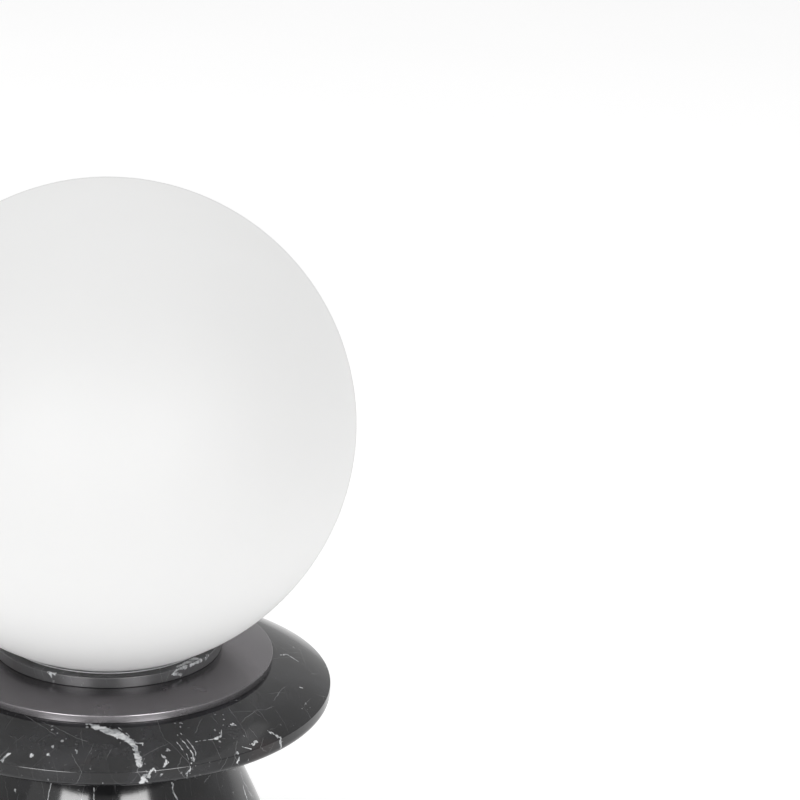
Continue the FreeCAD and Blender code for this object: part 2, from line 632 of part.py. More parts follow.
def bulb_base():
    """Plug block under a round base that flares to the envelope."""
    foot = block(BULB_BLOCK_LENGTH, BULB_BLOCK_DEPTH, HOLDER_TOP, BULB_BLOCK_HEIGHT)
    foot = round_uprights(foot, HOLDER_CORNER)
    flare_bottom = HOLDER_TOP + BULB_BLOCK_HEIGHT
    lower = BULB_BASE_LOWER_DIAMETER / 2
    upper = BULB_DIAMETER / 2
    middle = flare_bottom + BULB_BASE_HEIGHT / 2
    profile = [point(0, flare_bottom), point(lower, flare_bottom), point(upper, middle)]
    profile += [point(upper, BULB_BASE_TOP), point(0, BULB_BASE_TOP), point(0, flare_bottom)]
    return foot.fuse(turned(chain(profile))).removeSplitter()


def capsule(radius, bottom, top):
    """Upright round-ended cylinder, flat at its bottom."""
    shoulder = top - radius
    dome = Part.Arc(point(radius, shoulder), circle_point(radius, math.pi * 0.75, shoulder), point(0, top))
    sides = chain([point(0, top), point(0, bottom), point(radius, bottom), point(radius, shoulder)])
    return turned(sides + [dome.toShape()])


def bulb_envelope():
    top = BULB_BASE_TOP + BULB_ENVELOPE_LENGTH
    outer = capsule(BULB_DIAMETER / 2, BULB_BASE_TOP, top)
    inner = capsule(BULB_DIAMETER / 2 - BULB_ENVELOPE_WALL, BULB_BASE_TOP, top - BULB_ENVELOPE_WALL)
    return outer.cut(inner)


def bulb_core():
    """Upright board that carries the light-emitting chips."""
    height = BULB_ENVELOPE_LENGTH - BULB_CORE_TOP_GAP
    return block(BULB_CORE_WIDTH, BULB_CORE_THICKNESS, BULB_BASE_TOP, height)


# ---- Base cover, inlet and wiring ----

def base_cover():
    plate = Part.makeCylinder(COVER_DIAMETER / 2, COVER_THICKNESS, V(0, 0, BODY_BOTTOM))
    hole = countersunk(COVER_SCREW_HEAD_DIAMETER / 2, COVER_SCREW_DIAMETER / 2, COVER_THICKNESS)
    hole.translate(insert_centre() + V(0, 0, BODY_BOTTOM))
    mount_hole_r = MOUNT_SCREW_DIAMETER / 2 + FITTED_CLEARANCE
    mount_hole = Part.makeCylinder(mount_hole_r, COVER_THICKNESS, V(0, terminal_centre(), BODY_BOTTOM))
    return plate.cut(spaced(hole, COVER_SCREW_COUNT, COVER_SCREW_FIRST_ANGLE) + [mount_hole])


def countersunk(head_r, shank_r, length, clearance=FITTED_CLEARANCE):
    """Countersunk outline with its head at the bottom: a hole, or a screw with no clearance."""
    head = Part.makeCone(head_r + clearance, shank_r + clearance, head_r - shank_r)
    return head.fuse(Part.makeCylinder(shank_r + clearance, length)).removeSplitter()


def cover_screws():
    head_r = COVER_SCREW_HEAD_DIAMETER / 2
    screw = countersunk(head_r, COVER_SCREW_DIAMETER / 2, COVER_SCREW_LENGTH, clearance=0.0)
    slot_a = block(head_r, DRIVE_WIDTH, 0, DRIVE_DEPTH)
    slot_b = block(DRIVE_WIDTH, head_r, 0, DRIVE_DEPTH)
    screw = screw.cut([slot_a, slot_b])
    screw.translate(insert_centre() + V(0, 0, BODY_BOTTOM))
    return Part.makeCompound(spaced(screw, COVER_SCREW_COUNT, COVER_SCREW_FIRST_ANGLE))


def cover_inserts():
    insert = ring(INSERT_DIAMETER, COVER_SCREW_DIAMETER + 2 * FITTED_CLEARANCE, COVER_TOP, INSERT_LENGTH)
    insert.translate(insert_centre())
    return Part.makeCompound(spaced(insert, COVER_SCREW_COUNT, COVER_SCREW_FIRST_ANGLE))


def foot_pad():
    return ring(PAD_OUTER_DIAMETER, PAD_INNER_DIAMETER, 0, PAD_THICKNESS)


def inlet_bush():
    """Flanged bush through the wall, drawn upright and then laid along +Y."""
    sleeve_start = BASE_RECESS_DIAMETER / 2
    seat = inlet_seat()
    flange_r = INLET_FLANGE_DIAMETER / 2
    sleeve = Part.makeCylinder(INLET_BUSH_DIAMETER / 2, seat - sleeve_start, V(0, 0, sleeve_start))
    flange = Part.makeCylinder(flange_r, INLET_FLANGE_THICKNESS, V(0, 0, seat))
    flange = round_ring(flange, flange_r, seat + INLET_FLANGE_THICKNESS, INLET_FLANGE_ROUND)
    bore_length = seat + INLET_FLANGE_THICKNESS - sleeve_start
    bore = Part.makeCylinder(INLET_BORE_DIAMETER / 2, bore_length, V(0, 0, sleeve_start))
    shape = sleeve.fuse(flange).cut(bore).removeSplitter()
    shape.rotate(V(0, 0, 0), V(1, 0, 0), -90)
    shape.translate(V(0, 0, INLET_HEIGHT))
    return shape


def terminal_centre():
    return TERMINAL_OFFSET + TERMINAL_LENGTH / 2


def terminal_block():
    """Two-pole screw terminal block, open at both ends of each pole."""
    centre = terminal_centre()
    shape = block(TERMINAL_WIDTH, TERMINAL_LENGTH, COVER_TOP, TERMINAL_HEIGHT, y=centre)
    shape = round_uprights(shape, TERMINAL_CORNER)
    pole_start = V(TERMINAL_POLE_SPACING / 2, TERMINAL_OFFSET, LEAD_LEVEL)
    pole = Part.makeCylinder(BARREL_DIAMETER / 2, TERMINAL_LENGTH, pole_start, REAR)
    shaft = terminal_screw_shape(TERMINAL_HOLE_DIAMETER, LEAD_LEVEL, TERMINAL_HEIGHT)
    mount = Part.makeCylinder(MOUNT_SCREW_DIAMETER / 2, TERMINAL_HEIGHT, V(0, centre, COVER_TOP))
    return shape.cut(mirrored_pair(pole) + mirrored_pair(shaft) + [mount])


def terminal_screw_shape(diameter, bottom, length):
    """The two upright screws, or screw holes, of one pole."""
    screws = []
    for step in (-1, 1):
        y = terminal_centre() + step * TERMINAL_LENGTH / 4
        place = V(TERMINAL_POLE_SPACING / 2, y, bottom)
        screws.append(Part.makeCylinder(diameter / 2, length, place))
    return Part.makeCompound(screws)


def terminal_barrels():
    length = TERMINAL_LENGTH - 2 * BARREL_SETBACK
    start = V(TERMINAL_POLE_SPACING / 2, TERMINAL_OFFSET + BARREL_SETBACK, LEAD_LEVEL)
    barrel = Part.makeCylinder(BARREL_DIAMETER / 2, length, start, REAR)
    bore = Part.makeCylinder(BARREL_BORE_DIAMETER / 2, length, start, REAR)
    holes = terminal_screw_shape(TERMINAL_HOLE_DIAMETER, LEAD_LEVEL, TERMINAL_HEIGHT)
    barrel = barrel.cut([bore, holes])
    return Part.makeCompound(mirrored_pair(barrel))


def terminal_screws():
    """Screws that stand just over the leads."""
    bottom = LEAD_LEVEL + LEAD_DIAMETER / 2 + FITTED_CLEARANCE
    pair = terminal_screw_shape(TERMINAL_SCREW_DIAMETER, bottom, TERMINAL_SCREW_LENGTH)
    solids = [solid for half in mirrored_pair(pair) for solid in half.Solids]
    return Part.makeCompound(solids)


def terminal_mount_screw():
    """Screw from under the cover up into the terminal block."""
    centre = V(0, terminal_centre(), 0)
    shank_r = MOUNT_SCREW_DIAMETER / 2
    shank_bottom = BODY_BOTTOM
    shank = Part.makeCylinder(shank_r, COVER_THICKNESS + TERMINAL_HEIGHT / 2, centre + V(0, 0, shank_bottom))
    head_bottom = BODY_BOTTOM - MOUNT_SCREW_HEAD_HEIGHT
    head_r = MOUNT_SCREW_HEAD_DIAMETER / 2
    head = Part.makeCylinder(head_r, MOUNT_SCREW_HEAD_HEIGHT, centre + V(0, 0, head_bottom))
    head = round_ring(head, head_r, head_bottom, MOUNT_SCREW_HEAD_HEIGHT / 3)
    slot = block(MOUNT_SCREW_HEAD_DIAMETER, DRIVE_WIDTH, head_bottom, DRIVE_DEPTH, y=centre.y)
    return shank.fuse(head).cut(slot).removeSplitter()


def inner_leads():
    """Two leads from the lampholder's contacts down the tube to the terminal block."""
    x = LEAD_SPACING / 2
    pole_x = TERMINAL_POLE_SPACING / 2
    top = POCKET_CEILING - CONTACT_THICKNESS
    end_y = TERMINAL_OFFSET + LEAD_ENTRY
    points = [V(x, 0, top), V(x, 0, LEAD_LEVEL)]
    points += [V(pole_x, LEAD_SPLAY_END, LEAD_LEVEL), V(pole_x, end_y, LEAD_LEVEL)]
    path = bent_path(points, [LEAD_BEND, LEAD_SPLAY_BEND])
    section = Part.Wire(Part.makeCircle(LEAD_DIAMETER / 2, points[0], UP))
    return Part.makeCompound(mirrored_pair(swept(section, path)))


# ---- Files ----

PIECES = {
    "glass_globe": glass_globe(),
    "seat_gasket": seat_gasket(),
    "marble_collar": marble_collar(),
    "metal_plate": metal_plate(),
    "marble_disc": marble_disc(),
    "marble_body": marble_body(),
    "tie_tube": tie_tube(),
    "tube_bushes": tube_bushes(),
    "top_nut": hex_nut(TOP_NUT_BOTTOM, TOP_NUT_HEIGHT),
    "lock_washer": lock_washer(),
    "globe_spring": globe_spring(),
    "bracket_nut": hex_nut(BRACKET_NUT_BOTTOM, BRACKET_NUT_HEIGHT),
    "base_nut": hex_nut(BASE_NUT_BOTTOM, BASE_NUT_HEIGHT),
    "base_washer": base_washer(BASE_WASHER_DIAMETER, BASE_WASHER_THICKNESS, BASE_WASHER_BOTTOM),
    "cushion_washer": base_washer(CUSHION_DIAMETER, CUSHION_THICKNESS, CUSHION_BOTTOM),
    "lampholder_bracket": lampholder_bracket(),
    "lampholder": lampholder(),
    "holder_screws": holder_screws(),
    "socket_contacts": socket_contacts(),
    "bulb_pins": bulb_pins(),
    "bulb_base": bulb_base(),
    "bulb_envelope": bulb_envelope(),
    "bulb_core": bulb_core(),
    "base_cover": base_cover(),
    "cover_screws": cover_screws(),
    "cover_inserts": cover_inserts(),
    "foot_pad": foot_pad(),
    "inlet_bush": inlet_bush(),
    "terminal_block": terminal_block(),
    "terminal_barrels": terminal_barrels(),
    "terminal_screws": terminal_screws(),
    "terminal_mount_screw": terminal_mount_screw(),
    "inner_leads": inner_leads(),
}

os.makedirs("parts", exist_ok=True)
for name, piece in PIECES.items():
    piece.exportStep("parts/" + name + ".step")
    print(name, "solids", len(piece.Solids), "valid", piece.isValid(), "volume", round(piece.Volume, 1))
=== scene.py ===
import math
from typing import NamedTuple

import bmesh
import bpy
from bpy.props import FloatProperty, FloatVectorProperty, IntProperty, PointerProperty
from mathutils import Matrix, Vector


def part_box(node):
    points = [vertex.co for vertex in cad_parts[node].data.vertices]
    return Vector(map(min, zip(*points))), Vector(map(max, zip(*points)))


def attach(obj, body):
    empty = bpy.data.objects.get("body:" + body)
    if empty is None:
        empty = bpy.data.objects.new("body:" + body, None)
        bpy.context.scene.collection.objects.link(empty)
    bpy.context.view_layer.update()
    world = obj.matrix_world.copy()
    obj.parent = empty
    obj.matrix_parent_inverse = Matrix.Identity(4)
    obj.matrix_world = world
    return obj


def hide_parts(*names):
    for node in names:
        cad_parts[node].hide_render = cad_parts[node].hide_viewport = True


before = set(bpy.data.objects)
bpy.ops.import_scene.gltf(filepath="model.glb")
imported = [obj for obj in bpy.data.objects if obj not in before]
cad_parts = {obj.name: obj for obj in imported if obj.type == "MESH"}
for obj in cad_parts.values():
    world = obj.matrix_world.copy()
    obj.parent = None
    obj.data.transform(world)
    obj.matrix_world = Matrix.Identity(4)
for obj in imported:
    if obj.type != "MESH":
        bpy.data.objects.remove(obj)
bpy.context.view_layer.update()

# Looks of a table lamp: opal glass globe, stone collar, satin metal plate, stone disc and body.
# Metres, +Z up, the lamp stands on z = 0 with its cable inlet at +Y.

bl_info = {
    "name": "Glass globe table lamp",
    "version": (1, 0, 0),
    "blender": (4, 5, 0),
    "location": "View3D > Sidebar > Lamp",
    "description": "Finishes and fine shapes of a glass globe table lamp",
    "category": "Object",
}

MM = 0.001
FULL_TURN = 2 * math.pi

# How many straight stretches a round outline is drawn with.
GLOBE_ROWS = 132
GLOBE_INSIDE_ROWS = 60
SEAT_ROWS = 8
PLATE_STEPS = 20
SLOPE_STEPS = 24
FLANK_STEPS = 40
HOLE_FACETS = 64

WELD = 0.001 * MM
THREAD_PITCH = 1.0 * MM
THREAD_DEPTH = 0.8 * MM
REFRACTION = 1.5  # of the glass and of the polished stone

# Cutting of the body: how far a cutter starts inside the recess, ends outside the stone and
# starts under an insert; where the inserts sit, and what the cut keeps sharp, in degrees.
INLET_START = 4.0 * MM
OVERCUT = 8.0 * MM
INSERT_START = 0.5 * MM
INSERT_ANGLES = (30.0, 150.0, 270.0)
SHARP_ANGLE = 35.0

# Stage, in metres and degrees; the sensor in millimetres.
FLOOR_HALF = 60.0
OVERHEAD_PLACE = (0.0, 0.2, 2.6)
OVERHEAD_SIZE = (3.2, 3.2)
FLOOR_AIM = (0.0, 0.0, 0.0)
FILL_PLACE = (-1.9, -1.3, 1.1)
FILL_SIZE = (1.4, 1.4)
GLOBE_AIM = (0.0, 0.0, 0.24)
STRIP_ANGLES = {"left_strip": -29.0, "right_strip": 26.0}
STRIP_DISTANCE = 1.7
STRIP_HEIGHT = 0.62
STRIP_SIZE = (0.72, 1.0)
DISC_AIM = (0.0, 0.0, 0.14)
SENSOR_WIDTH = 36.0


# ---- Sizes, colours and stage values that a user would change ----

def length(name, description, millimetres):
    return FloatProperty(
        name=name, description=description, default=millimetres * MM, unit="LENGTH", precision=5)


def degrees(name, description, value):
    return FloatProperty(
        name=name, description=description, default=math.radians(value), subtype="ANGLE")


def amount(name, description, value):
    return FloatProperty(name=name, description=description, default=value)


def share(name, description, value):
    return FloatProperty(
        name=name, description=description, default=value, min=0.0, max=1.0, subtype="FACTOR")


def colour(name, description, value):
    return FloatVectorProperty(
        name=name, description=description, default=value, min=0.0, max=1.0, size=3, subtype="COLOR")


class LampShape(bpy.types.PropertyGroup):
    """Fine shape of the turned pieces; the main sizes come from the construction model."""
    segments: IntProperty(
        name="Segments", description="Facets round a large turned piece", default=288)
    neck: length("Neck", "Outer radius of the globe's neck", 34.0)
    glass_wall: length("Glass wall", "Thickness of the opal glass", 2.5)
    glass_lip: length("Glass lip", "Fire-polished round of the neck's rim", 1.1)
    glass_blend: length("Neck blend", "Round between globe and neck", 2.0)
    rest_gap: length("Rest gap", "Room round a piece that stands or drops into its place", 0.3)
    fit_gap: length("Fit gap", "Room between pieces that are assembled once", 0.1)
    gasket: length("Gasket", "Thickness of the ring under the glass", 1.1)
    collar_rim: length("Collar rim", "Width of the collar's flat rim", 4.4)
    collar_bore: length("Collar bore", "Radius of the collar's bore", 38.0)
    collar_arris: length("Collar arris", "Round of the collar's outer edges", 0.35)
    plate_rim: length("Plate rim", "Height of the plate's rim", 3.3)
    plate_land: length("Plate land", "Flat land round the collar", 0.5)
    plate_arris: length("Plate arris", "Round of the plate's top edge", 0.4)
    well_inside: length("Well", "Inner radius of the plate's well", 36.4)
    well_wall: length("Well wall", "Thickness of the well's wall", 1.8)
    well_floor: length("Well floor", "Thickness of the well's floor", 2.0)
    disc_land: length("Disc land", "Flat land round the plate", 0.6)
    ridge_drop: length("Ridge drop", "From the disc's top to its ridge", 9.3)
    ridge_round: length("Ridge round", "Round of the disc's ridge", 0.5)
    disc_bulge: length("Disc bulge", "How far the disc's slope bows", 1.2)
    disc_under: length("Disc under", "Round of the disc's lower edge", 3.5)
    stone_bore: length("Stone bore", "Radius of the bore for the tie tube", 5.5)
    body_top: length("Body top", "Radius of the body's top", 37.0)
    body_bulge: length("Body bulge", "How far the body's flank bows", 6.8)
    body_foot: length("Body foot", "Round of the body's foot", 2.5)
    body_shoulder: length("Body shoulder", "Round of the body's top edge", 0.8)
    recess: length("Recess", "Radius of the wiring recess", 52.0)
    inlet: length("Inlet", "Radius of the cable inlet's bore", 4.6)
    inlet_flange: length("Inlet flange", "Thickness of the inlet bush's flange", 1.2)
    insert_hole: length("Insert hole", "Radius of the holes for the threaded inserts", 3.1)
    recess_depth: length("Recess depth", "Depth of the wiring recess", 26.0)
    pad_inside: length("Pad inside", "Inner radius of the felt ring", 64.0)


class StoneFinish(bpy.types.PropertyGroup):
    """Black stone with white veins."""
    dark: colour("Dark stone", "Deepest tone of the stone", (0.0075, 0.0076, 0.0086))
    cloud: colour("Clouded stone", "Lighter tone of the stone's clouds", (0.022, 0.022, 0.025))
    rust: colour("Rust", "Faint iron stain in the stone", (0.030, 0.019, 0.018))
    vein: colour("Vein", "Calcite of the veins", (0.74, 0.75, 0.76))
    vein_shade: colour("Vein shade", "Grey streaks in the veins", (0.25, 0.26, 0.27))
    honed: colour("Honed stone", "The collar's paler surface", (0.078, 0.078, 0.080))
    polish: share("Polish", "Roughness of the polished stone", 0.12)
    honed_roughness: share("Honed roughness", "Roughness of the collar", 0.30)


class MetalFinish(bpy.types.PropertyGroup):
    """Satin plate and the fittings."""
    gunmetal: colour("Gunmetal", "Satin dark plate", (0.188, 0.180, 0.188))
    zinc: colour("Zinc", "Plated nuts and washers", (0.55, 0.56, 0.57))
    spring: colour("Spring steel", "Blued spring steel", (0.36, 0.37, 0.39))
    brass: colour("Brass", "Terminals and inserts", (0.62, 0.45, 0.20))
    satin: share("Satin", "Roughness of the plate", 0.26)


class GlassFinish(bpy.types.PropertyGroup):
    """Opal glass and the ring under it."""
    opal: colour("Opal", "Opal glass", (0.90, 0.90, 0.895))
    # Painted shade: the darker tone given to the globe's outline, where the glass is seen edge on.
    edge: colour("Edge", "Opal glass seen edge on", (0.62, 0.62, 0.62))
    silicone: colour("Silicone", "Ring under the glass", (0.86, 0.87, 0.88))
    satin: share("Satin", "Roughness of the etched glass", 0.62)


class FittingFinish(bpy.types.PropertyGroup):
    """Small parts held inside the lamp, and the felt under it."""
    rubber: colour("Rubber", "Cushion washer and inlet bush", (0.02, 0.02, 0.021))
    ceramic: colour("Ceramic", "Lampholder", (0.82, 0.81, 0.78))
    white: colour("White plastic", "Tube bushes and the bulb's base", (0.80, 0.80, 0.79))
    terminal: colour("Terminal block", "Off-white plastic", (0.72, 0.72, 0.70))
    envelope: colour("Envelope", "Frosted plastic of the bulb", (0.85, 0.85, 0.84))
    board: colour("LED board", "The bulb's board under its chips", (0.85, 0.80, 0.45))
    phosphor: colour("Phosphor", "Yellow chips on the board", (0.85, 0.62, 0.10))
    cover: colour("Base cover", "Black plastic", (0.03, 0.03, 0.032))
    insulation: colour("Insulation", "Inner leads", (0.75, 0.75, 0.74))
    pin_steel: colour("Pin steel", "The bulb's pins", (0.62, 0.63, 0.64))
    black_steel: colour("Black steel", "Screws of the base cover", (0.03, 0.03, 0.032))
    felt: colour("Felt", "Fibres of the felt", (0.045, 0.045, 0.048))
    felt_shade: colour("Felt shade", "Between the fibres", (0.008, 0.008, 0.009))


class StageSettings(bpy.types.PropertyGroup):
    """Floor, light and camera."""
    floor: colour("Floor", "Plain pale floor", (0.93, 0.93, 0.93))
    floor_glow: amount("Floor glow", "Radiance of the floor, lit from below like a light table", 0.27)
    world: amount("Surround", "Radiance of the white surround", 0.68)
    overhead: amount("Overhead", "Power of the overhead softbox, in watts", 18.0)
    fill: amount("Side fill", "Power of the softbox at the left, in watts", 3.0)
    strips: amount("Strips", "Power of the two strip softboxes, in watts", 31.0)
    distance: length("Camera distance", "From the globe's centre", 1042.2)
    height: degrees("Camera height", "Angle above the globe's centre", 17.94)
    tilt: degrees("Camera tilt", "Angle below the level", 17.34)
    pan: degrees("Camera pan", "Turn to the right about the camera's own upright", 6.47)
    roll: degrees("Camera roll", "Turn about the line of sight", 0.59)
    lens: amount("Lens", "Focal length in millimetres on a 36 mm sensor", 114.9)


# ---- Node helpers ----

MIX_FIRST, MIX_SECOND, MIX_RESULT = 6, 7, 2  # the Mix node's sockets for colours


def add(tree, kind, inputs=None, **settings):
    """New node with its settings, values and links."""
    node = tree.nodes.new(kind)
    for name, value in settings.items():
        setattr(node, name, value)
    for socket, value in (inputs or {}).items():
        if isinstance(value, bpy.types.NodeSocket):
            tree.links.new(value, node.inputs[socket])
        else:
            node.inputs[socket].default_value = value
    return node


def calc(tree, operation, *values):
    return add(tree, "ShaderNodeMath", dict(enumerate(values)), operation=operation).outputs[0]


def vector_calc(tree, operation, *values):
    node = add(tree, "ShaderNodeVectorMath", dict(enumerate(values)), operation=operation)
    gives_number = operation in ("DISTANCE", "DOT_PRODUCT")
    return node.outputs["Value" if gives_number else "Vector"]


def scaled(tree, vector, factor):
    inputs = {0: vector, "Scale": factor}
    return add(tree, "ShaderNodeVectorMath", inputs, operation="SCALE").outputs[0]


def ramp(tree, value, first, last, start=0.0, end=1.0):
    """Smooth step of a value from first to last, as start to end."""
    inputs = {"Value": value, "From Min": first, "From Max": last, "To Min": start, "To Max": end}
    node = add(tree, "ShaderNodeMapRange", inputs, interpolation_type="SMOOTHSTEP", clamp=False)
    return node.outputs[0]


def blend_colour(tree, factor, first, second):
    """Mix of two colours; each is a socket, or its red, green and blue."""
    inputs = {0: factor}
    for index, value in ((MIX_FIRST, first), (MIX_SECOND, second)):
        inputs[index] = value if isinstance(value, bpy.types.NodeSocket) else (*value, 1.0)
    return add(tree, "ShaderNodeMix", inputs, data_type="RGBA").outputs[MIX_RESULT]


def noise(tree, vector, scale, detail=3.0, roughness=0.5, distortion=0.0, output=0):
    """Noise at a point: output 0 is a number and 1 a colour."""
    inputs = {"Vector": vector, "Scale": scale, "Detail": detail, "Roughness": roughness}
    inputs["Distortion"] = distortion
    return add(tree, "ShaderNodeTexNoise", inputs).outputs[output]


def node_group(kind, name, inputs, outputs):
    """Node group with named sockets: inputs are (name, type, default), outputs (name, type)."""
    tree = bpy.data.node_groups.new(name, kind)
    for label, data, value in inputs:
        socket = tree.interface.new_socket(label, in_out="INPUT", socket_type="NodeSocket" + data)
        if value is not None:
            socket.default_value = value
    for label, data in outputs:
        tree.interface.new_socket(label, in_out="OUTPUT", socket_type="NodeSocket" + data)
    return tree, tree.nodes.new("NodeGroupInput"), tree.nodes.new("NodeGroupOutput")


def once(name, make):
    """The node group of this name, made on first use."""
    return bpy.data.node_groups.get(name) or make(name)


def effect(tree, name, make, inputs):
    """A shared shader group placed in a tree, with its own values."""
    return add(tree, "ShaderNodeGroup", inputs, node_tree=once(name, make))


def strongest(tree, masks):
    """The largest of several masks.

    Each mask is used as soon as it is made: kept side by side they overflow Cycles' shader stack."""
    total = 0.0
    for mask in masks:
        total = calc(tree, "MAXIMUM", total, mask)
    return total


# ---- Turned outlines ----

def bow(start, end, bulge, steps):
    """Inner points of an arc from start to end that bows to the left by bulge."""
    start, end = Vector(start), Vector(end)
    half = (end - start).length / 2
    radius = (half ** 2 + bulge ** 2) / (2 * abs(bulge))
    along = (end - start).normalized()
    left = Vector((-along.y, along.x)) * math.copysign(1, bulge)
    centre = (start + end) / 2 - left * (radius - abs(bulge))
    swing = math.asin(half / radius)
    points = []
    for step in range(1, steps):
        angle = swing * (2 * step / steps - 1)
        place = centre + left * radius * math.cos(angle) + along * radius * math.sin(angle)
        points.append((place.x, place.y, 0.0))
    return points


def outline(corners, steps=6, closed=True):
    """Points of a turned outline through (radius, height, round) corners.

    A round's ends get a point just beyond them, so that smooth shading leaves the flats flat."""
    points = []
    count = len(corners)
    for index, (radius, height, size) in enumerate(corners):
        here = Vector((radius, height))
        if not size:
            points.append(here)
            continue
        before = Vector(corners[index - 1][:2]) - here
        after = Vector(corners[(index + 1) % count][:2]) - here
        half = (math.pi - before.angle(after)) / 2
        reach = size * math.tan(half)
        centre = here + (before.normalized() + after.normalized()).normalized() * size / math.cos(half)
        start = before.normalized() * reach
        end = after.normalized() * reach
        if before.length > 3 * reach:
            points.append(here + start * 1.5)
        first = here + start - centre
        last = here + end - centre
        for step in range(steps + 1):
            turn = first.lerp(last, step / steps).normalized()
            points.append(centre + turn * size)
        if after.length > 3 * reach:
            points.append(here + end * 1.5)
    if closed:
        points.append(points[0])
    return points


def circle_spot(radius, angle, centre):
    """Radius and height of a point of a circle about the axis, angle up from straight down."""
    return radius * math.sin(angle), centre - radius * math.cos(angle), 0.0


# ---- Geometry node trees ----

def turned_tree(name):
    """Turns an outline, given as vertices in order, into a closed solid of revolution."""
    sockets = [("Outline", "Geometry", None), ("Segments", "Int", 240), ("Finish", "Material", None)]
    tree, start, end = node_group("GeometryNodeTree", name, sockets, [("Geometry", "Geometry")])
    rows = add(tree, "GeometryNodeAttributeDomainSize", {0: start.outputs["Outline"]}).outputs[0]
    columns = calc(tree, "ADD", start.outputs["Segments"], 1)
    sheet = add(tree, "GeometryNodeMeshGrid", {"Vertices X": columns, "Vertices Y": rows})
    index = tree.nodes.new("GeometryNodeInputIndex").outputs[0]
    row = calc(tree, "FLOORED_MODULO", index, rows)
    column = calc(tree, "FLOOR", calc(tree, "DIVIDE", index, rows))
    place = tree.nodes.new("GeometryNodeInputPosition").outputs[0]
    look = {"Geometry": start.outputs["Outline"], "Value": place, "Index": row}
    found = add(tree, "GeometryNodeSampleIndex", look, data_type="FLOAT_VECTOR").outputs[0]
    turns = calc(tree, "MULTIPLY", column, FULL_TURN)
    turn = {"Vector": found, "Angle": calc(tree, "DIVIDE", turns, start.outputs["Segments"])}
    turned = add(tree, "ShaderNodeVectorRotate", turn, rotation_type="Z_AXIS").outputs[0]
    bent = add(tree, "GeometryNodeSetPosition", {"Geometry": sheet.outputs[0], "Position": turned})
    inputs = {"Geometry": bent.outputs[0], "Distance": WELD}
    welded = add(tree, "GeometryNodeMergeByDistance", inputs)
    finish_tree(tree, welded.outputs[0], start, end)
    return tree


def chips_tree(name):
    """Rows and columns of chips on both faces of an upright board."""
    sockets = [("Corner", "Vector", None), ("Step", "Vector", None), ("Size", "Vector", None)]
    sockets += [("Columns", "Int", 3), ("Rows", "Int", 9), ("Finish", "Material", None)]
    tree, start, end = node_group("GeometryNodeTree", name, sockets, [("Geometry", "Geometry")])
    columns = start.outputs["Columns"]
    face_count = calc(tree, "MULTIPLY", columns, start.outputs["Rows"])
    count = calc(tree, "MULTIPLY", face_count, 2)
    points = add(tree, "GeometryNodeMeshLine", {"Count": count}, mode="OFFSET")
    index = tree.nodes.new("GeometryNodeInputIndex").outputs[0]
    face = calc(tree, "FLOOR", calc(tree, "DIVIDE", index, face_count))
    on_face = calc(tree, "FLOORED_MODULO", index, face_count)
    column = calc(tree, "FLOORED_MODULO", on_face, columns)
    row = calc(tree, "FLOOR", calc(tree, "DIVIDE", on_face, columns))
    steps = add(tree, "ShaderNodeCombineXYZ", {0: column, 1: face, 2: row}).outputs[0]
    place = vector_calc(tree, "MULTIPLY", steps, start.outputs["Step"])
    place = vector_calc(tree, "ADD", place, start.outputs["Corner"])
    moved = add(tree, "GeometryNodeSetPosition", {"Geometry": points.outputs[0], "Position": place})
    chip = add(tree, "GeometryNodeMeshCube", {"Size": start.outputs["Size"]})
    inputs = {"Points": moved.outputs[0], "Instance": chip.outputs[0]}
    chips = add(tree, "GeometryNodeInstanceOnPoints", inputs)
    finish_tree(tree, chips.outputs[0], start, end, smooth=False)
    return tree


def finish_tree(tree, geometry, start, end, smooth=True):
    """The end of every tree: shading, Realize Instances and Set Material."""
    shaded = add(tree, "GeometryNodeSetShadeSmooth", {"Geometry": geometry, "Shade Smooth": smooth})
    real = add(tree, "GeometryNodeRealizeInstances", {0: shaded.outputs[0]})
    inputs = {"Geometry": real.outputs[0], "Material": start.outputs["Finish"]}
    finished = add(tree, "GeometryNodeSetMaterial", inputs)
    tree.links.new(finished.outputs[0], end.inputs[0])


def grown(name, tree, inputs, base=None):
    """Plain mesh object that a tree grows, from a base mesh where it needs one."""
    seed = bpy.data.objects.new(name + "_seed", base or bpy.data.meshes.new(name + "_seed"))
    bpy.context.scene.collection.objects.link(seed)
    modifier = seed.modifiers.new("grow", "NODES")
    modifier.node_group = tree
    for item in tree.interface.items_tree:
        if item.item_type == "SOCKET" and item.in_out == "INPUT" and item.name in inputs:
            modifier[item.identifier] = inputs[item.name]
    bpy.context.view_layer.update()
    evaluated = seed.evaluated_get(bpy.context.evaluated_depsgraph_get())
    mesh = bpy.data.meshes.new_from_object(evaluated)
    seed_mesh = seed.data
    bpy.data.objects.remove(seed)
    bpy.data.meshes.remove(seed_mesh)
    mesh.name = name
    piece = bpy.data.objects.new(name, mesh)
    bpy.context.scene.collection.objects.link(piece)
    return piece


def face_outwards(piece):
    """Turns a closed mesh inside out if its volume comes out negative."""
    work = bmesh.new()
    work.from_mesh(piece.data)
    if work.calc_volume(signed=True) < 0:
        bmesh.ops.reverse_faces(work, faces=work.faces)
    work.to_mesh(piece.data)
    work.free()


def turned_piece(name, points, finish, segments):
    """Solid of revolution of an outline."""
    base = bpy.data.meshes.new(name + "_outline")
    rows = range(len(points) - 1)
    base.from_pydata([(p[0], 0.0, p[1]) for p in points], [(row, row + 1) for row in rows], [])
    tree = once("Turned piece", turned_tree)
    piece = grown(name, tree, {"Segments": segments, "Finish": finish}, base)
    face_outwards(piece)
    return piece


# ---- Placing pieces on the model ----

def low(node):
    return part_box(node)[0].z


def high(node):
    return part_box(node)[1].z


def reach(node):
    """Outer radius of a turned node, kept inside its box on every side."""
    lowest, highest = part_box(node)
    return min(highest.x, highest.y, -lowest.x, -lowest.y)


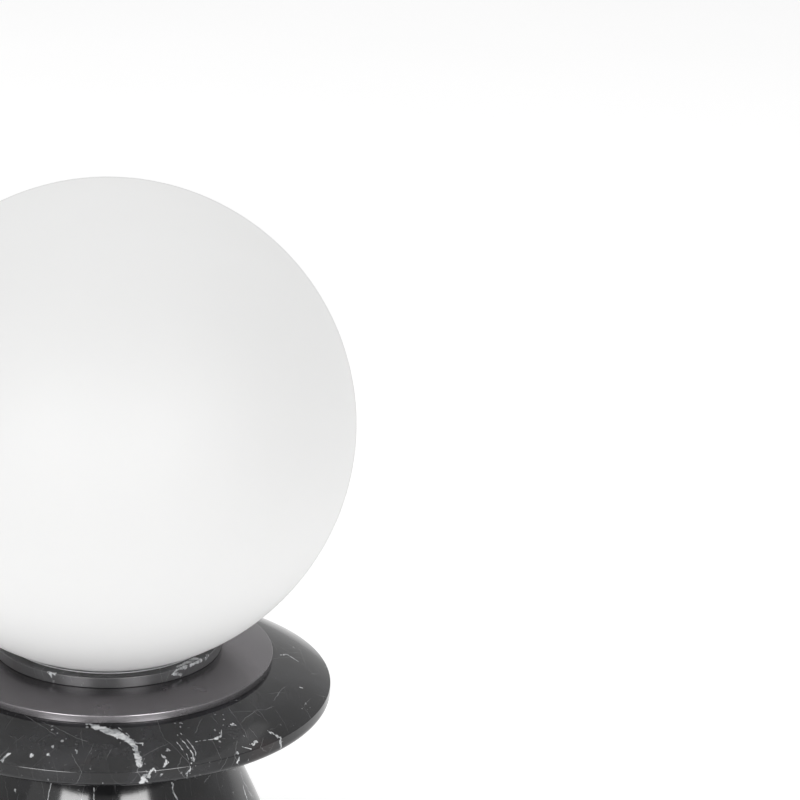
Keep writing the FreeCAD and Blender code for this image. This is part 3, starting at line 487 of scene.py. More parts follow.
def settle(piece, body, slot, *nodes):
    """Makes a piece ride on a body and hides the nodes that it stands for; its slot is not used."""
    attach(piece, body)
    if nodes:
        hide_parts(*nodes)


def coat(material, *nodes):
    """Gives nodes of the model a better material in their own slots."""
    for node in nodes:
        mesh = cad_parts[node].data
        for index in range(max(1, len(mesh.materials))):
            if mesh.materials:
                mesh.materials[index] = material
            else:
                mesh.materials.append(material)


# ---- Effects that several finishes share ----

MIDDLE = (0.5, 0.5, 0.5)  # middle of a noise's or a cell's colour


def stroke_group(name):
    """A vein's stroke: how far a point lies inside a tapered line from Start to End."""
    sockets = [("Vector", "Vector", None), ("Start", "Vector", None), ("End", "Vector", None)]
    sockets += [("Start Width", "Float", 0.001), ("End Width", "Float", 0.001)]
    tree, start, end = node_group("ShaderNodeTree", name, sockets, [("Mask", "Float")])
    from_start = vector_calc(tree, "SUBTRACT", start.outputs["Vector"], start.outputs["Start"])
    run = vector_calc(tree, "SUBTRACT", start.outputs["End"], start.outputs["Start"])
    along = calc(tree, "DIVIDE", vector_calc(tree, "DOT_PRODUCT", from_start, run),
                 vector_calc(tree, "DOT_PRODUCT", run, run))
    along = calc(tree, "MAXIMUM", calc(tree, "MINIMUM", along, 1.0), 0.0)
    distance = vector_calc(tree, "DISTANCE", from_start, scaled(tree, run, along))
    growth = calc(tree, "SUBTRACT", start.outputs["End Width"], start.outputs["Start Width"])
    width = calc(tree, "ADD", calc(tree, "MULTIPLY", growth, along), start.outputs["Start Width"])
    half = calc(tree, "MULTIPLY", width, 0.5)
    inner = calc(tree, "MULTIPLY", half, 0.72)
    tree.links.new(ramp(tree, distance, inner, half, 1.0, 0.0), end.inputs["Mask"])
    return tree


def crack_group(name):
    """Hairline cracks filled with calcite: thin planes through the stone, shown in stretches."""
    sockets = [("Vector", "Vector", None), ("Turn", "Vector", (0.0, 0.0, 0.0))]
    sockets += [("Scale", "Float", 60.0), ("Width", "Float", 0.0001), ("Cover", "Float", 0.5)]
    tree, start, end = node_group("ShaderNodeTree", name, sockets, [("Mask", "Float")])
    turn = {"Vector": start.outputs["Vector"], "Rotation": start.outputs["Turn"]}
    turned = add(tree, "ShaderNodeVectorRotate", turn, rotation_type="EULER_XYZ").outputs[0]
    broad = noise(tree, turned, 22.0, 1.0)
    fine = noise(tree, turned, 300.0, 2.0, 0.6)
    across = add(tree, "ShaderNodeSeparateXYZ", {0: turned}).outputs["X"]
    bent = calc(tree, "MULTIPLY_ADD", broad, 0.012, across)
    bent = calc(tree, "MULTIPLY_ADD", fine, 0.0012, bent)
    inputs = {"W": bent, "Scale": start.outputs["Scale"]}
    planes = add(tree, "ShaderNodeTexVoronoi", inputs, voronoi_dimensions="1D", feature="F1")
    away = calc(tree, "DIVIDE", planes.outputs["Distance"], start.outputs["Scale"])
    line = ramp(tree, away, 0.0, start.outputs["Width"], 1.0, 0.0)
    tone = add(tree, "ShaderNodeSeparateColor", {0: planes.outputs["Color"]})
    moved = vector_calc(tree, "ADD", turned, planes.outputs["Color"])
    patch = noise(tree, moved, 70.0, 1.0)
    limit = calc(tree, "SUBTRACT", 1.0, start.outputs["Cover"])
    shown = ramp(tree, patch, limit, calc(tree, "ADD", limit, 0.10))
    strength = calc(tree, "MULTIPLY_ADD", tone.outputs[0], 0.8, 0.2)
    mask = calc(tree, "MULTIPLY", calc(tree, "MULTIPLY", line, shown), strength)
    tree.links.new(mask, end.inputs["Mask"])
    return tree


def fleck_group(name):
    """Small ragged flecks scattered in clusters."""
    sockets = [("Vector", "Vector", None), ("Scale", "Float", 250.0), ("Size", "Float", 0.22)]
    sockets += [("Cluster Scale", "Float", 45.0), ("Cover", "Float", 0.4)]
    tree, start, end = node_group("ShaderNodeTree", name, sockets, [("Mask", "Float")])
    ragged = {"Vector": start.outputs["Vector"], "Scale": 800.0, "Reach": 1.3 * MM, "Break": 0.3 * MM}
    ragged = effect(tree, "Wobble", wobble_group, ragged).outputs[0]
    inputs = {"Vector": ragged, "Scale": start.outputs["Scale"]}
    cells = add(tree, "ShaderNodeTexVoronoi", inputs, feature="F1")
    tone = add(tree, "ShaderNodeSeparateColor", {0: cells.outputs["Color"]}).outputs[0]
    size = calc(tree, "MULTIPLY", calc(tree, "POWER", tone, 3.0), start.outputs["Size"])
    inner = calc(tree, "MULTIPLY", size, 0.6)
    fleck = ramp(tree, cells.outputs["Distance"], inner, size, 1.0, 0.0)
    cluster = noise(tree, start.outputs["Vector"], start.outputs["Cluster Scale"], 2.0)
    limit = calc(tree, "SUBTRACT", 1.0, start.outputs["Cover"])
    shown = ramp(tree, cluster, limit, calc(tree, "ADD", limit, 0.1))
    tree.links.new(calc(tree, "MULTIPLY", fleck, shown), end.inputs["Mask"])
    return tree


def wobble_group(name):
    """Moves a point by noise and by broken cells, so that plain shapes come out ragged."""
    sockets = [("Vector", "Vector", None), ("Scale", "Float", 300.0)]
    sockets += [("Reach", "Float", 0.001), ("Break", "Float", 0.0)]
    tree, start, end = node_group("ShaderNodeTree", name, sockets, [("Vector", "Vector")])
    place, scale = start.outputs["Vector"], start.outputs["Scale"]
    field = noise(tree, place, scale, 4.0, 0.62, output=1)
    moved = scaled(tree, vector_calc(tree, "SUBTRACT", field, MIDDLE), start.outputs["Reach"])
    inputs = {"Vector": place, "Scale": calc(tree, "MULTIPLY", scale, 2.6)}
    cells = add(tree, "ShaderNodeTexVoronoi", inputs, feature="F1").outputs["Color"]
    broken = scaled(tree, vector_calc(tree, "SUBTRACT", cells, MIDDLE), start.outputs["Break"])
    moved = vector_calc(tree, "ADD", moved, broken)
    tree.links.new(vector_calc(tree, "ADD", place, moved), end.inputs["Vector"])
    return tree


def grain_group(name):
    """Fine surface grain with faint handling marks, as a height and a roughness shift."""
    sockets = [("Vector", "Vector", None), ("Scale", "Float", 1500.0), ("Mark Scale", "Float", 30.0)]
    tree, start, end = node_group(
        "ShaderNodeTree", name, sockets, [("Height", "Float"), ("Marks", "Float")])
    place = start.outputs["Vector"]
    fine = noise(tree, place, start.outputs["Scale"], 2.0, 0.6)
    marks = noise(tree, place, start.outputs["Mark Scale"], 4.0, 0.55, 0.6)
    tree.links.new(fine, end.inputs["Height"])
    tree.links.new(calc(tree, "SUBTRACT", marks, 0.5), end.inputs["Marks"])
    return tree


def new_material(name):
    """Material with its tree, shader and object coordinates."""
    material = bpy.data.materials.new(name)
    material.use_nodes = True
    tree = material.node_tree
    shader = tree.nodes["Principled BSDF"]
    place = tree.nodes.new("ShaderNodeTexCoord").outputs["Object"]
    return material, tree, shader, place


def link(tree, socket, shader, name):
    tree.links.new(socket, shader.inputs[name])


def set_values(shader, values):
    """Sets what is the same all over on the shader's own sockets."""
    for name, value in values.items():
        shader.inputs[name].default_value = value


def bump(tree, height, depth, shader):
    """Feeds a height, whose full range is depth metres, into the shader's normal."""
    node = add(tree, "ShaderNodeBump", {"Height": height, "Distance": depth, "Strength": 1.0})
    link(tree, node.outputs[0], shader, "Normal")


def grained(tree, place, shader, roughness, change, depth, scale=900.0, mark_scale=30.0):
    """Grain as a bump of a depth in millimetres, marks as a change of roughness.

    Gives the marks, which run from about -0.25 to 0.25."""
    inputs = {"Vector": place, "Scale": scale, "Mark Scale": mark_scale}
    grain = effect(tree, "Grain", grain_group, inputs)
    marks = grain.outputs["Marks"]
    rough = calc(tree, "ADD", roughness, calc(tree, "MULTIPLY", marks, change))
    link(tree, rough, shader, "Roughness")
    bump(tree, grain.outputs["Height"], depth * MM, shader)
    return marks


def toned(tint, factor):
    """A colour made paler or darker by a factor."""
    return tuple(min(1.0, channel * factor) for channel in tint)


# ---- Stone ----

THIN_VEIN = 0.95  # millimetres; narrower strokes keep a flowing edge


class Vein(NamedTuple):
    """A white stroke: places are degrees from the front, radius and height in millimetres."""
    what: str
    start: tuple
    end: tuple
    start_width: float
    end_width: float


def disc_veins(shape):
    """Veins on the front of the disc, on its sloping top and its upright lip."""
    top, edge = high("marble_disc") / MM, reach("marble_disc") / MM
    land = (reach("metal_plate") + shape.disc_land) / MM
    drop, bulge = shape.ridge_drop / MM, shape.disc_bulge / MM

    def slope(angle, radius):
        way = min(max((radius - land) / (edge - land), 0.0), 1.0)
        return angle, radius, top - drop * way + 4 * bulge * way * (1 - way)

    def lip(angle, height):
        return angle, edge, height

    return (
        Vein("broad vein, tip", slope(-6.4, 68.9), slope(-3.5, 70.8), 1.2, 3.4),
        Vein("broad vein, upper run", slope(-3.5, 70.8), slope(2.5, 74.6), 3.4, 4.6),
        Vein("broad vein, lower run", slope(2.5, 74.6), slope(6.4, 79.3), 4.4, 3.2),
        Vein("broad vein, bend", slope(6.4, 79.3), slope(7.8, 83.2), 3.0, 2.2),
        Vein("broad vein, tail", slope(7.8, 83.2), slope(8.0, 90.6), 2.4, 2.5),
        Vein("companion, upper", slope(3.6, 71.6), slope(8.4, 80.2), 0.35, 0.5),
        Vein("companion, hook", slope(8.2, 80.4), slope(9.9, 81.0), 0.6, 0.9),
        Vein("companion, lower", slope(9.9, 81.0), slope(9.3, 90.0), 0.5, 0.35),
        Vein("lip patch", lip(8.2, 128.6), lip(9.2, 132.2), 2.7, 1.6),
        Vein("lip finger", lip(9.4, 129.4), lip(10.6, 134.3), 1.2, 1.3),
        Vein("lip dot", lip(11.4, 133.7), lip(11.7, 134.3), 1.5, 1.2),
        Vein("ridge fleck", slope(13.9, 87.2), slope(14.5, 88.4), 0.8, 1.9),
        Vein("ridge fleck, tail", slope(14.8, 90.4), lip(12.9, 131.4), 1.7, 1.0),
        Vein("slope fleck", slope(15.7, 85.2), slope(16.4, 85.7), 1.5, 1.3),
        Vein("banded vein, lower", slope(21.4, 90.0), lip(20.3, 132.6), 0.9, 1.3),
        Vein("banded vein, lip", lip(20.3, 132.6), lip(18.9, 127.8), 1.4, 0.8),
        Vein("banded vein, first", slope(20.4, 79.0), slope(21.9, 88.2), 0.4, 0.6),
        Vein("banded vein, first end", slope(21.9, 88.2), slope(21.6, 91.6), 0.6, 0.9),
        Vein("banded vein, second", slope(21.6, 78.2), slope(23.0, 87.0), 0.3, 0.5),
        Vein("banded vein, second end", slope(23.0, 87.0), lip(21.6, 133.4), 0.5, 0.3),
        Vein("banded vein, third", slope(19.2, 82.2), slope(20.4, 89.0), 0.3, 0.45),
        Vein("banded vein, third end", slope(20.4, 89.0), lip(20.2, 133.4), 0.45, 0.3),
        Vein("right fleck", slope(33.4, 92.4), lip(33.2, 130.6), 1.3, 0.9),
        Vein("right loop", slope(35.6, 90.6), slope(37.6, 92.6), 0.4, 0.5),
        Vein("right loop, end", slope(37.6, 92.6), lip(36.2, 129.8), 0.5, 0.3),
        Vein("right knot", slope(38.2, 91.0), slope(40.4, 90.6), 0.5, 1.8),
        Vein("star fleck", slope(30.6, 84.2), slope(32.2, 83.6), 1.7, 1.0),
        Vein("star ray", slope(32.0, 83.8), slope(33.8, 81.0), 0.6, 0.3),
        Vein("star ray, left", slope(24.2, 83.8), slope(30.4, 84.2), 0.3, 0.4),
        Vein("upper fleck", slope(37.9, 80.1), slope(38.5, 80.6), 1.4, 0.9),
        Vein("far vein", slope(46.0, 88.4), slope(47.2, 92.6), 0.6, 1.1),
        Vein("far vein, tail", lip(47.4, 133.4), lip(47.6, 129.2), 1.7, 1.1),
        Vein("rear vein", slope(91.0, 72.0), slope(92.6, 75.6), 1.2, 1.0),
        Vein("rear vein, end", slope(92.6, 75.6), slope(89.6, 79.4), 0.7, 0.9),
        Vein("rear fleck", slope(72.4, 82.8), slope(72.8, 83.6), 0.9, 0.7),
        Vein("left fleck", slope(-19.3, 87.7), slope(-18.8, 88.5), 1.7, 1.3),
        Vein("middle fleck", slope(-15.1, 87.2), slope(-14.5, 87.5), 1.7, 1.1),
        Vein("middle fleck, thread", slope(-14.8, 87.6), lip(-13.8, 129.6), 0.4, 0.5),
        Vein("upper left fleck", slope(-14.6, 83.0), slope(-14.2, 83.6), 1.5, 0.9),
        Vein("soft fleck", slope(-8.0, 83.9), slope(-7.8, 84.8), 1.1, 0.9),
        Vein("edge fleck", slope(-25.7, 92.2), slope(-25.0, 89.0), 1.7, 0.8),
        Vein("lip speck", lip(-0.8, 129.2), lip(-0.5, 128.8), 0.9, 0.7),
    )


BODY_VEINS = (
    Vein("front thread", (31.6, 50.6, 104.5), (31.4, 53.0, 100.6), 1.1, 0.8),
    Vein("front thread, lower", (31.4, 53.0, 100.6), (33.5, 55.5, 95.6), 0.9, 0.6),
    Vein("left thread", (-26.6, 49.6, 106.5), (-26.0, 53.6, 99.0), 0.7, 0.5),
    Vein("middle thread", (-5.9, 49.8, 106.0), (-5.0, 53.0, 100.2), 0.5, 0.6),
    Vein("left speck", (-43.8, 53.4, 99.8), (-43.2, 53.6, 99.2), 1.3, 0.9),
    Vein("flank streak", (77.0, 58.8, 89.4), (74.0, 61.6, 83.4), 0.8, 1.2),
    Vein("flank streak, lower", (74.0, 61.6, 83.4), (70.0, 66.0, 73.0), 1.2, 0.5),
)

COLLAR_VEINS = (
    Vein("right patch, face", (33.2, 47.2, 151.4), (38.0, 47.2, 150.2), 1.2, 1.7),
    Vein("right patch, rise", (34.5, 47.2, 152.4), (42.0, 47.2, 152.9), 0.9, 1.8),
    Vein("right patch, top", (38.5, 45.6, 153.1), (52.0, 44.9, 153.1), 1.6, 3.2),
    Vein("right patch, end", (45.0, 47.2, 152.6), (52.5, 47.2, 152.8), 1.2, 2.0),
    Vein("right fleck", (57.0, 47.2, 152.2), (60.0, 47.0, 152.6), 1.6, 1.0),
    Vein("left fleck", (-30.6, 47.2, 152.6), (-26.4, 47.2, 152.8), 1.0, 1.3),
    Vein("left fleck, foot", (-28.6, 47.2, 152.4), (-28.0, 47.2, 150.9), 1.1, 0.6),
)


class CrackSet(NamedTuple):
    """Parallel hairline cracks: a turn, planes per metre and half a width in millimetres."""
    turn: tuple
    planes: float
    half_width: float
    cover: float
    strength: float


CRACK_SETS = (
    CrackSet((0.0, 0.3, 0.5), 90.0, 0.11, 0.48, 0.36),
    CrackSet((0.3, 0.1, 1.0), 120.0, 0.09, 0.48, 0.30),
    CrackSet((1.1, 0.6, 2.2), 75.0, 0.10, 0.46, 0.32),
    CrackSet((0.2, -0.4, -0.7), 110.0, 0.09, 0.48, 0.28),
    CrackSet((0.9, 0.2, 0.1), 140.0, 0.08, 0.46, 0.26),
)


class FleckSet(NamedTuple):
    """Flecks of about one size: cells per metre, size as a share of a cell, and clusters."""
    cells: float
    size: float
    cluster_scale: float
    cover: float
    strength: float


FLECK_SETS = (FleckSet(520.0, 0.42, 60.0, 0.44, 0.45), FleckSet(230.0, 0.34, 34.0, 0.40, 0.80))
SEED_WAY = (1.0, 0.37, 0.61)  # the way in which a seed moves the stone's pattern
STREAK_STRETCH = (1.0, 2.2, 0.6)  # how the streaks in the veins are drawn out


def turned_point(angle, radius, height):
    """Point in metres from degrees round the front, radius and height in millimetres."""
    turn = math.radians(angle)
    return Vector((radius * math.sin(turn), -radius * math.cos(turn), height)) * MM


def vein_masks(tree, place, veins):
    """A mask for each listed vein: broad ones are ragged, thin ones flow."""
    inputs = {"Vector": place, "Scale": 330.0, "Reach": 2.0 * MM, "Break": 0.8 * MM}
    ragged = effect(tree, "Wobble", wobble_group, inputs).outputs[0]
    inputs = {"Vector": place, "Scale": 240.0, "Reach": 1.6 * MM, "Break": 0.12 * MM}
    flowing = effect(tree, "Wobble", wobble_group, inputs).outputs[0]
    for vein in veins:
        thin = max(vein.start_width, vein.end_width) < THIN_VEIN
        inputs = {"Vector": flowing if thin else ragged}
        inputs.update({"Start": turned_point(*vein.start), "End": turned_point(*vein.end)})
        inputs.update({"Start Width": vein.start_width * MM, "End Width": vein.end_width * MM})
        node = effect(tree, "Vein stroke", stroke_group, inputs)
        node.label = vein.what
        yield node.outputs[0]


def crack_masks(tree, place):
    """A mask for each set of hairline cracks."""
    for cracks in CRACK_SETS:
        inputs = {"Vector": place, "Turn": cracks.turn, "Scale": cracks.planes}
        inputs.update({"Width": cracks.half_width * MM, "Cover": cracks.cover})
        mask = effect(tree, "Cracks", crack_group, inputs).outputs[0]
        yield calc(tree, "MULTIPLY", mask, cracks.strength)


def fleck_masks(tree, place):
    """A mask for each set of flecks."""
    for flecks in FLECK_SETS:
        inputs = {"Vector": place, "Scale": flecks.cells, "Size": flecks.size}
        inputs.update({"Cluster Scale": flecks.cluster_scale, "Cover": flecks.cover})
        mask = effect(tree, "Flecks", fleck_group, inputs).outputs[0]
        yield calc(tree, "MULTIPLY", mask, flecks.strength)


def scattered_veins(tree, place, moved, bent):
    """The stone's own veins, which start behind the front that the listed ones cover."""
    field = noise(tree, bent, 17.0, 3.0, 0.45)
    ridge = calc(tree, "ABSOLUTE", calc(tree, "SUBTRACT", field, 0.5))
    narrow, broad = 0.002, 0.016
    breadth = ramp(tree, noise(tree, moved, 60.0, 2.0), 0.35, 0.7, narrow, broad)
    mask = ramp(tree, ridge, calc(tree, "MULTIPLY", breadth, 0.5), breadth, 1.0, 0.0)
    shown = ramp(tree, noise(tree, moved, 21.0, 2.0), 0.54, 0.62)
    depth = add(tree, "ShaderNodeSeparateXYZ", {0: place}).outputs["Y"]
    none_before, all_behind = -30.0 * MM, 15.0 * MM
    behind = ramp(tree, depth, none_before, all_behind)
    return calc(tree, "MULTIPLY", calc(tree, "MULTIPLY", mask, shown), behind)


def stone_material(name, settings, veins, dark, cloud, roughness, seed):
    """Black stone: clouds, hairlines, flecks, scattered veins and the listed ones."""
    material, tree, shader, place = new_material(name)
    moved = vector_calc(tree, "ADD", place, tuple(seed * step for step in SEED_WAY))
    lines = strongest(tree, crack_masks(tree, moved))
    flecks = strongest(tree, fleck_masks(tree, moved))
    wobble = {"Vector": moved, "Scale": 26.0, "Reach": 22 * MM}
    bent = effect(tree, "Wobble", wobble_group, wobble).outputs[0]
    scattered = scattered_veins(tree, place, moved, bent)
    white = strongest(tree, vein_masks(tree, place, veins))
    white = calc(tree, "MAXIMUM", white, scattered)
    drawn = vector_calc(tree, "MULTIPLY", bent, STREAK_STRETCH)
    streaks = ramp(tree, noise(tree, drawn, 240.0, 4.0, 0.6), 0.34, 0.62)
    calcite = blend_colour(tree, streaks, settings.vein_shade, settings.vein)
    clouds = ramp(tree, noise(tree, moved, 48.0, 5.0, 0.6, 0.4), 0.38, 0.68)
    ground = blend_colour(tree, clouds, dark, cloud)
    stain = ramp(tree, noise(tree, moved, 33.0, 3.0), 0.60, 0.72, 0.0, 0.5)
    ground = blend_colour(tree, stain, ground, settings.rust)
    ground = blend_colour(tree, calc(tree, "MAXIMUM", lines, flecks), ground, settings.vein)
    mottle = ramp(tree, noise(tree, moved, 700.0, 2.0, 0.7), 0.66, 0.78, 0.0, 0.08)
    ground = blend_colour(tree, mottle, ground, settings.vein)
    link(tree, blend_colour(tree, white, ground, calcite), shader, "Base Color")
    rough = calc(tree, "ADD", roughness, calc(tree, "MULTIPLY", white, 0.08))
    grained(tree, place, shader, rough, 0.10, 0.003)
    set_values(shader, {"IOR": REFRACTION})
    return material


def polished_stone(context, name, veins, seed):
    """The disc's and the body's stone; the seed moves its pattern."""
    stone = context.scene.lamp_stone
    return stone_material(name, stone, veins, stone.dark, stone.cloud, stone.polish, seed)


def honed_stone(context, name, veins, seed):
    """The collar's paler stone."""
    stone = context.scene.lamp_stone
    cloud = toned(stone.honed, 1.5)
    return stone_material(name, stone, veins, stone.honed, cloud, stone.honed_roughness, seed)


# ---- Metal, glass and the rest ----

def satin_metal(name, tint, roughness, grain_scale=1400.0, grain_depth=0.004):
    """Bead-blasted or plated metal with handling marks."""
    material, tree, shader, place = new_material(name)
    marks = grained(tree, place, shader, roughness, 0.12, grain_depth, grain_scale)
    tone = ramp(tree, marks, -0.25, 0.25)
    link(tree, blend_colour(tree, tone, tint, toned(tint, 1.12)), shader, "Base Color")
    set_values(shader, {"Metallic": 1.0})
    return material


def opal_material(settings):
    """Etched opal glass: white, satin, a little light under its skin, with painted shade darkening its
    rim where it is seen edge on.
    """
    material, tree, shader, place = new_material("opal_glass")
    marks = grained(tree, place, shader, settings.satin, 0.08, 0.003, 2600.0, mark_scale=9.0)
    tone = ramp(tree, marks, -0.2, 0.2)
    skin = blend_colour(tree, tone, settings.opal, toned(settings.opal, 0.985))
    # Painted shade: the base colour darkens towards the globe's outline, where the glass is seen edge
    # on.
    graze = add(tree, "ShaderNodeLayerWeight", {"Blend": 0.5}).outputs["Facing"]
    edge = ramp(tree, graze, 0.86, 1.0, 0.0, 0.5)
    link(tree, blend_colour(tree, edge, skin, settings.edge), shader, "Base Color")
    set_values(shader, {"Subsurface Weight": 0.12, "Subsurface Radius": (1.0, 1.0, 1.0)})
    set_values(shader, {"Subsurface Scale": 1.5 * MM, "IOR": REFRACTION})
    return material


def soft_plastic(name, tint, roughness, grain_scale=900.0, depth=0.01, clear=0.0):
    """Moulded plastic, rubber, silicone or glaze with a fine skin."""
    material, tree, shader, place = new_material(name)
    marks = grained(tree, place, shader, roughness, 0.12, depth, grain_scale)
    tone = ramp(tree, marks, -0.25, 0.25)
    link(tree, blend_colour(tree, tone, toned(tint, 0.9), tint), shader, "Base Color")
    set_values(shader, {"Transmission Weight": clear})
    return material


def thread_material(settings):
    """Plated tube with a rolled thread, as a bump that climbs by one pitch a turn; the thread's roots
    are darkened as painted shade.
    """
    material, tree, shader, place = new_material("threaded_zinc")
    parts = add(tree, "ShaderNodeSeparateXYZ", {0: place})
    angle = calc(tree, "ARCTAN2", parts.outputs["Y"], parts.outputs["X"])
    turns = calc(tree, "DIVIDE", angle, FULL_TURN)
    rise = calc(tree, "MULTIPLY_ADD", parts.outputs["Z"], 1.0 / THREAD_PITCH, turns)
    groove = calc(tree, "PINGPONG", rise, 0.5)
    grain = effect(tree, "Grain", grain_group, {"Vector": place, "Scale": 900.0})
    # Painted shade: the colour darkens towards the thread's roots, and the handling marks vary it at
    # random.
    tone = calc(tree, "MULTIPLY_ADD", grain.outputs["Marks"], 0.6, calc(tree, "MULTIPLY", groove, 2.0))
    shade = blend_colour(tree, tone, toned(settings.zinc, 0.45), settings.zinc)
    link(tree, shade, shader, "Base Color")
    set_values(shader, {"Metallic": 1.0, "Roughness": 0.30})
    bump(tree, groove, THREAD_DEPTH, shader)
    return material


def felt_material(settings):
    """Pressed black wool felt."""
    material, tree, shader, place = new_material("black_felt")
    fibres = noise(tree, place, 1800.0, 5.0, 0.75)
    tone = ramp(tree, fibres, 0.35, 0.7)
    ground = blend_colour(tree, tone, settings.felt_shade, settings.felt)
    link(tree, ground, shader, "Base Color")
    set_values(shader, {"Roughness": 0.95, "Sheen Weight": 0.3})
    bump(tree, fibres, 0.25 * MM, shader)
    return material


# ---- Pieces ----

def globe_centre():
    return high("glass_globe") - reach("glass_globe")


def arc(radius, centre, start, end, rows):
    """Points of an arc between two angles, up from straight down."""
    steps = range(rows + 1)
    return [circle_spot(radius, start + (end - start) * row / rows, centre) for row in steps]


def glass_outline(shape):
    """Outline of the globe: outside, neck, rim and inside, open only on the axis."""
    radius = reach("glass_globe")
    inner_radius = radius - shape.glass_wall
    inner_neck = shape.neck - shape.glass_wall
    outer_angle = math.asin((shape.neck + shape.glass_blend) / radius)
    inner_angle = math.asin(inner_neck / inner_radius)
    centre = globe_centre()
    root = circle_spot(radius, math.asin(shape.neck / radius), centre)
    foot = low("glass_globe")
    points = arc(radius, centre, math.pi, outer_angle, GLOBE_ROWS)
    points.append((shape.neck, root[1] - shape.glass_blend, 0.0))
    points.append((shape.neck, foot, shape.glass_lip))
    points.append((inner_neck, foot, shape.glass_lip))
    points += arc(inner_radius, centre, inner_angle, math.pi, GLOBE_INSIDE_ROWS)
    points[0] = (0.0, centre + radius, 0.0)
    points[-1] = (0.0, centre + inner_radius, 0.0)
    return outline(points, closed=False)


def seat_height(shape, radius):
    """Height of the collar's conical seat at a radius."""
    edge = reach("marble_collar") - shape.collar_rim
    lean = math.asin((edge + shape.collar_bore) / 2 / reach("glass_globe"))
    foot = circle_spot(reach("glass_globe") + shape.rest_gap + shape.gasket, lean, globe_centre())
    return foot[1] + (radius - foot[0]) * math.tan(lean)


class LAMP_OT_glass_globe(bpy.types.Operator):
    """Opal glass globe with its neck"""
    bl_idname = "lamp.glass_globe"
    bl_label = "Glass globe"

    def execute(self, context):
        shape = context.scene.lamp_shape
        finish = opal_material(context.scene.lamp_glass)
        globe = turned_piece("opal_globe", glass_outline(shape), finish, shape.segments)
        settle(globe, "globe", "opal_glass", "glass_globe")
        return {"FINISHED"}


class LAMP_OT_seat_gasket(bpy.types.Operator):
    """Translucent ring that the globe stands on"""
    bl_idname = "lamp.seat_gasket"
    bl_label = "Seat gasket"

    def execute(self, context):
        shape = context.scene.lamp_shape
        settings = context.scene.lamp_glass
        inner = shape.collar_bore + shape.fit_gap
        outer = reach("marble_collar") - shape.collar_rim - shape.fit_gap
        face, centre = reach("glass_globe") + shape.rest_gap, globe_centre()
        edge = 0.25 * MM
        corners = [(inner, seat_height(shape, inner), edge), (outer, seat_height(shape, outer), edge)]
        for row in range(SEAT_ROWS + 1):
            radius = outer + (inner - outer) * row / SEAT_ROWS
            size = edge if row in (0, SEAT_ROWS) else 0.0
            corners.append((radius, centre - math.sqrt(face ** 2 - radius ** 2), size))
        finish = soft_plastic("clear_silicone", settings.silicone, 0.35, clear=0.15)
        ring = turned_piece("silicone_ring", outline(corners, steps=4), finish, shape.segments)
        settle(ring, "root", "clear_silicone", "seat_gasket")
        return {"FINISHED"}


class LAMP_OT_marble_collar(bpy.types.Operator):
    """Stone collar with its conical seat"""
    bl_idname = "lamp.marble_collar"
    bl_label = "Marble collar"

    def execute(self, context):
        shape = context.scene.lamp_shape
        outer = reach("marble_collar")
        edge = outer - shape.collar_rim
        top, bottom = high("marble_collar"), low("marble_collar")
        small = 0.15 * MM
        corners = [(outer, bottom, shape.collar_arris), (outer, top, shape.collar_arris)]
        corners += [(edge, top, small), (edge, seat_height(shape, edge), small)]
        corners += [(shape.collar_bore, seat_height(shape, shape.collar_bore), small)]
        corners += [(shape.collar_bore, bottom, small)]
        finish = honed_stone(context, "honed_marble", COLLAR_VEINS, 3.1)
        collar = turned_piece("stone_collar", outline(corners), finish, shape.segments)
        settle(collar, "root", "black_marble", "marble_collar")
        return {"FINISHED"}


class LAMP_OT_metal_plate(bpy.types.Operator):
    """Satin plate with the well for the globe's neck"""
    bl_idname = "lamp.metal_plate"
    bl_label = "Metal plate"

    def execute(self, context):
        shape = context.scene.lamp_shape
        settings = context.scene.lamp_metal
        outer = reach("metal_plate")
        top = high("metal_plate")
        foot = low("metal_plate")
        disc_top = high("marble_disc")
        land = reach("marble_collar") + shape.plate_land
        rim = disc_top + shape.plate_rim
        floor = foot + shape.well_floor
        well_outside = shape.well_inside + shape.well_wall
        drop = top - rim
        bulge = math.hypot(outer - land, drop) * drop / (outer - land) / 4
        small, well_lip, well_root = 0.3 * MM, 0.8 * MM, 1.2 * MM
        corners = [(outer, disc_top, small), (outer, rim, shape.plate_arris)]
        corners += bow((outer, rim), (land, top), -bulge, PLATE_STEPS)
        corners += [(land, top, 0.0), (shape.well_inside, top, well_lip)]
        corners += [(shape.well_inside, floor, well_root), (shape.stone_bore, floor, small)]
        corners += [(shape.stone_bore, foot, small)]
        corners += [(well_outside, foot, small), (well_outside, disc_top, small)]
        finish = satin_metal("gunmetal", settings.gunmetal, settings.satin)
        plate = turned_piece("satin_plate", outline(corners), finish, shape.segments)
        settle(plate, "root", "gunmetal", "metal_plate")
        return {"FINISHED"}


class LAMP_OT_marble_disc(bpy.types.Operator):
    """Stone disc with its sharp ridge"""
    bl_idname = "lamp.marble_disc"
    bl_label = "Marble disc"

    def execute(self, context):
        shape = context.scene.lamp_shape
        outer = reach("marble_disc")
        top, bottom = high("marble_disc"), low("marble_disc")
        land = reach("metal_plate") + shape.disc_land
        well = shape.well_inside + shape.well_wall + shape.fit_gap
        well_foot = low("metal_plate")
        ridge = top - shape.ridge_drop
        small = 0.3 * MM
        corners = [(outer, bottom, shape.disc_under), (outer, ridge, shape.ridge_round)]
        corners += bow((outer, ridge), (land, top), -shape.disc_bulge, SLOPE_STEPS)
        corners += [(land, top, 0.0), (well, top, small), (well, well_foot, small)]
        corners += [(shape.stone_bore, well_foot, small), (shape.stone_bore, bottom, small)]
        finish = polished_stone(context, "disc_marble", disc_veins(shape), 0.0)
        disc = turned_piece("stone_disc", outline(corners, steps=10), finish, shape.segments)
        settle(disc, "root", "black_marble", "marble_disc")
        return {"FINISHED"}


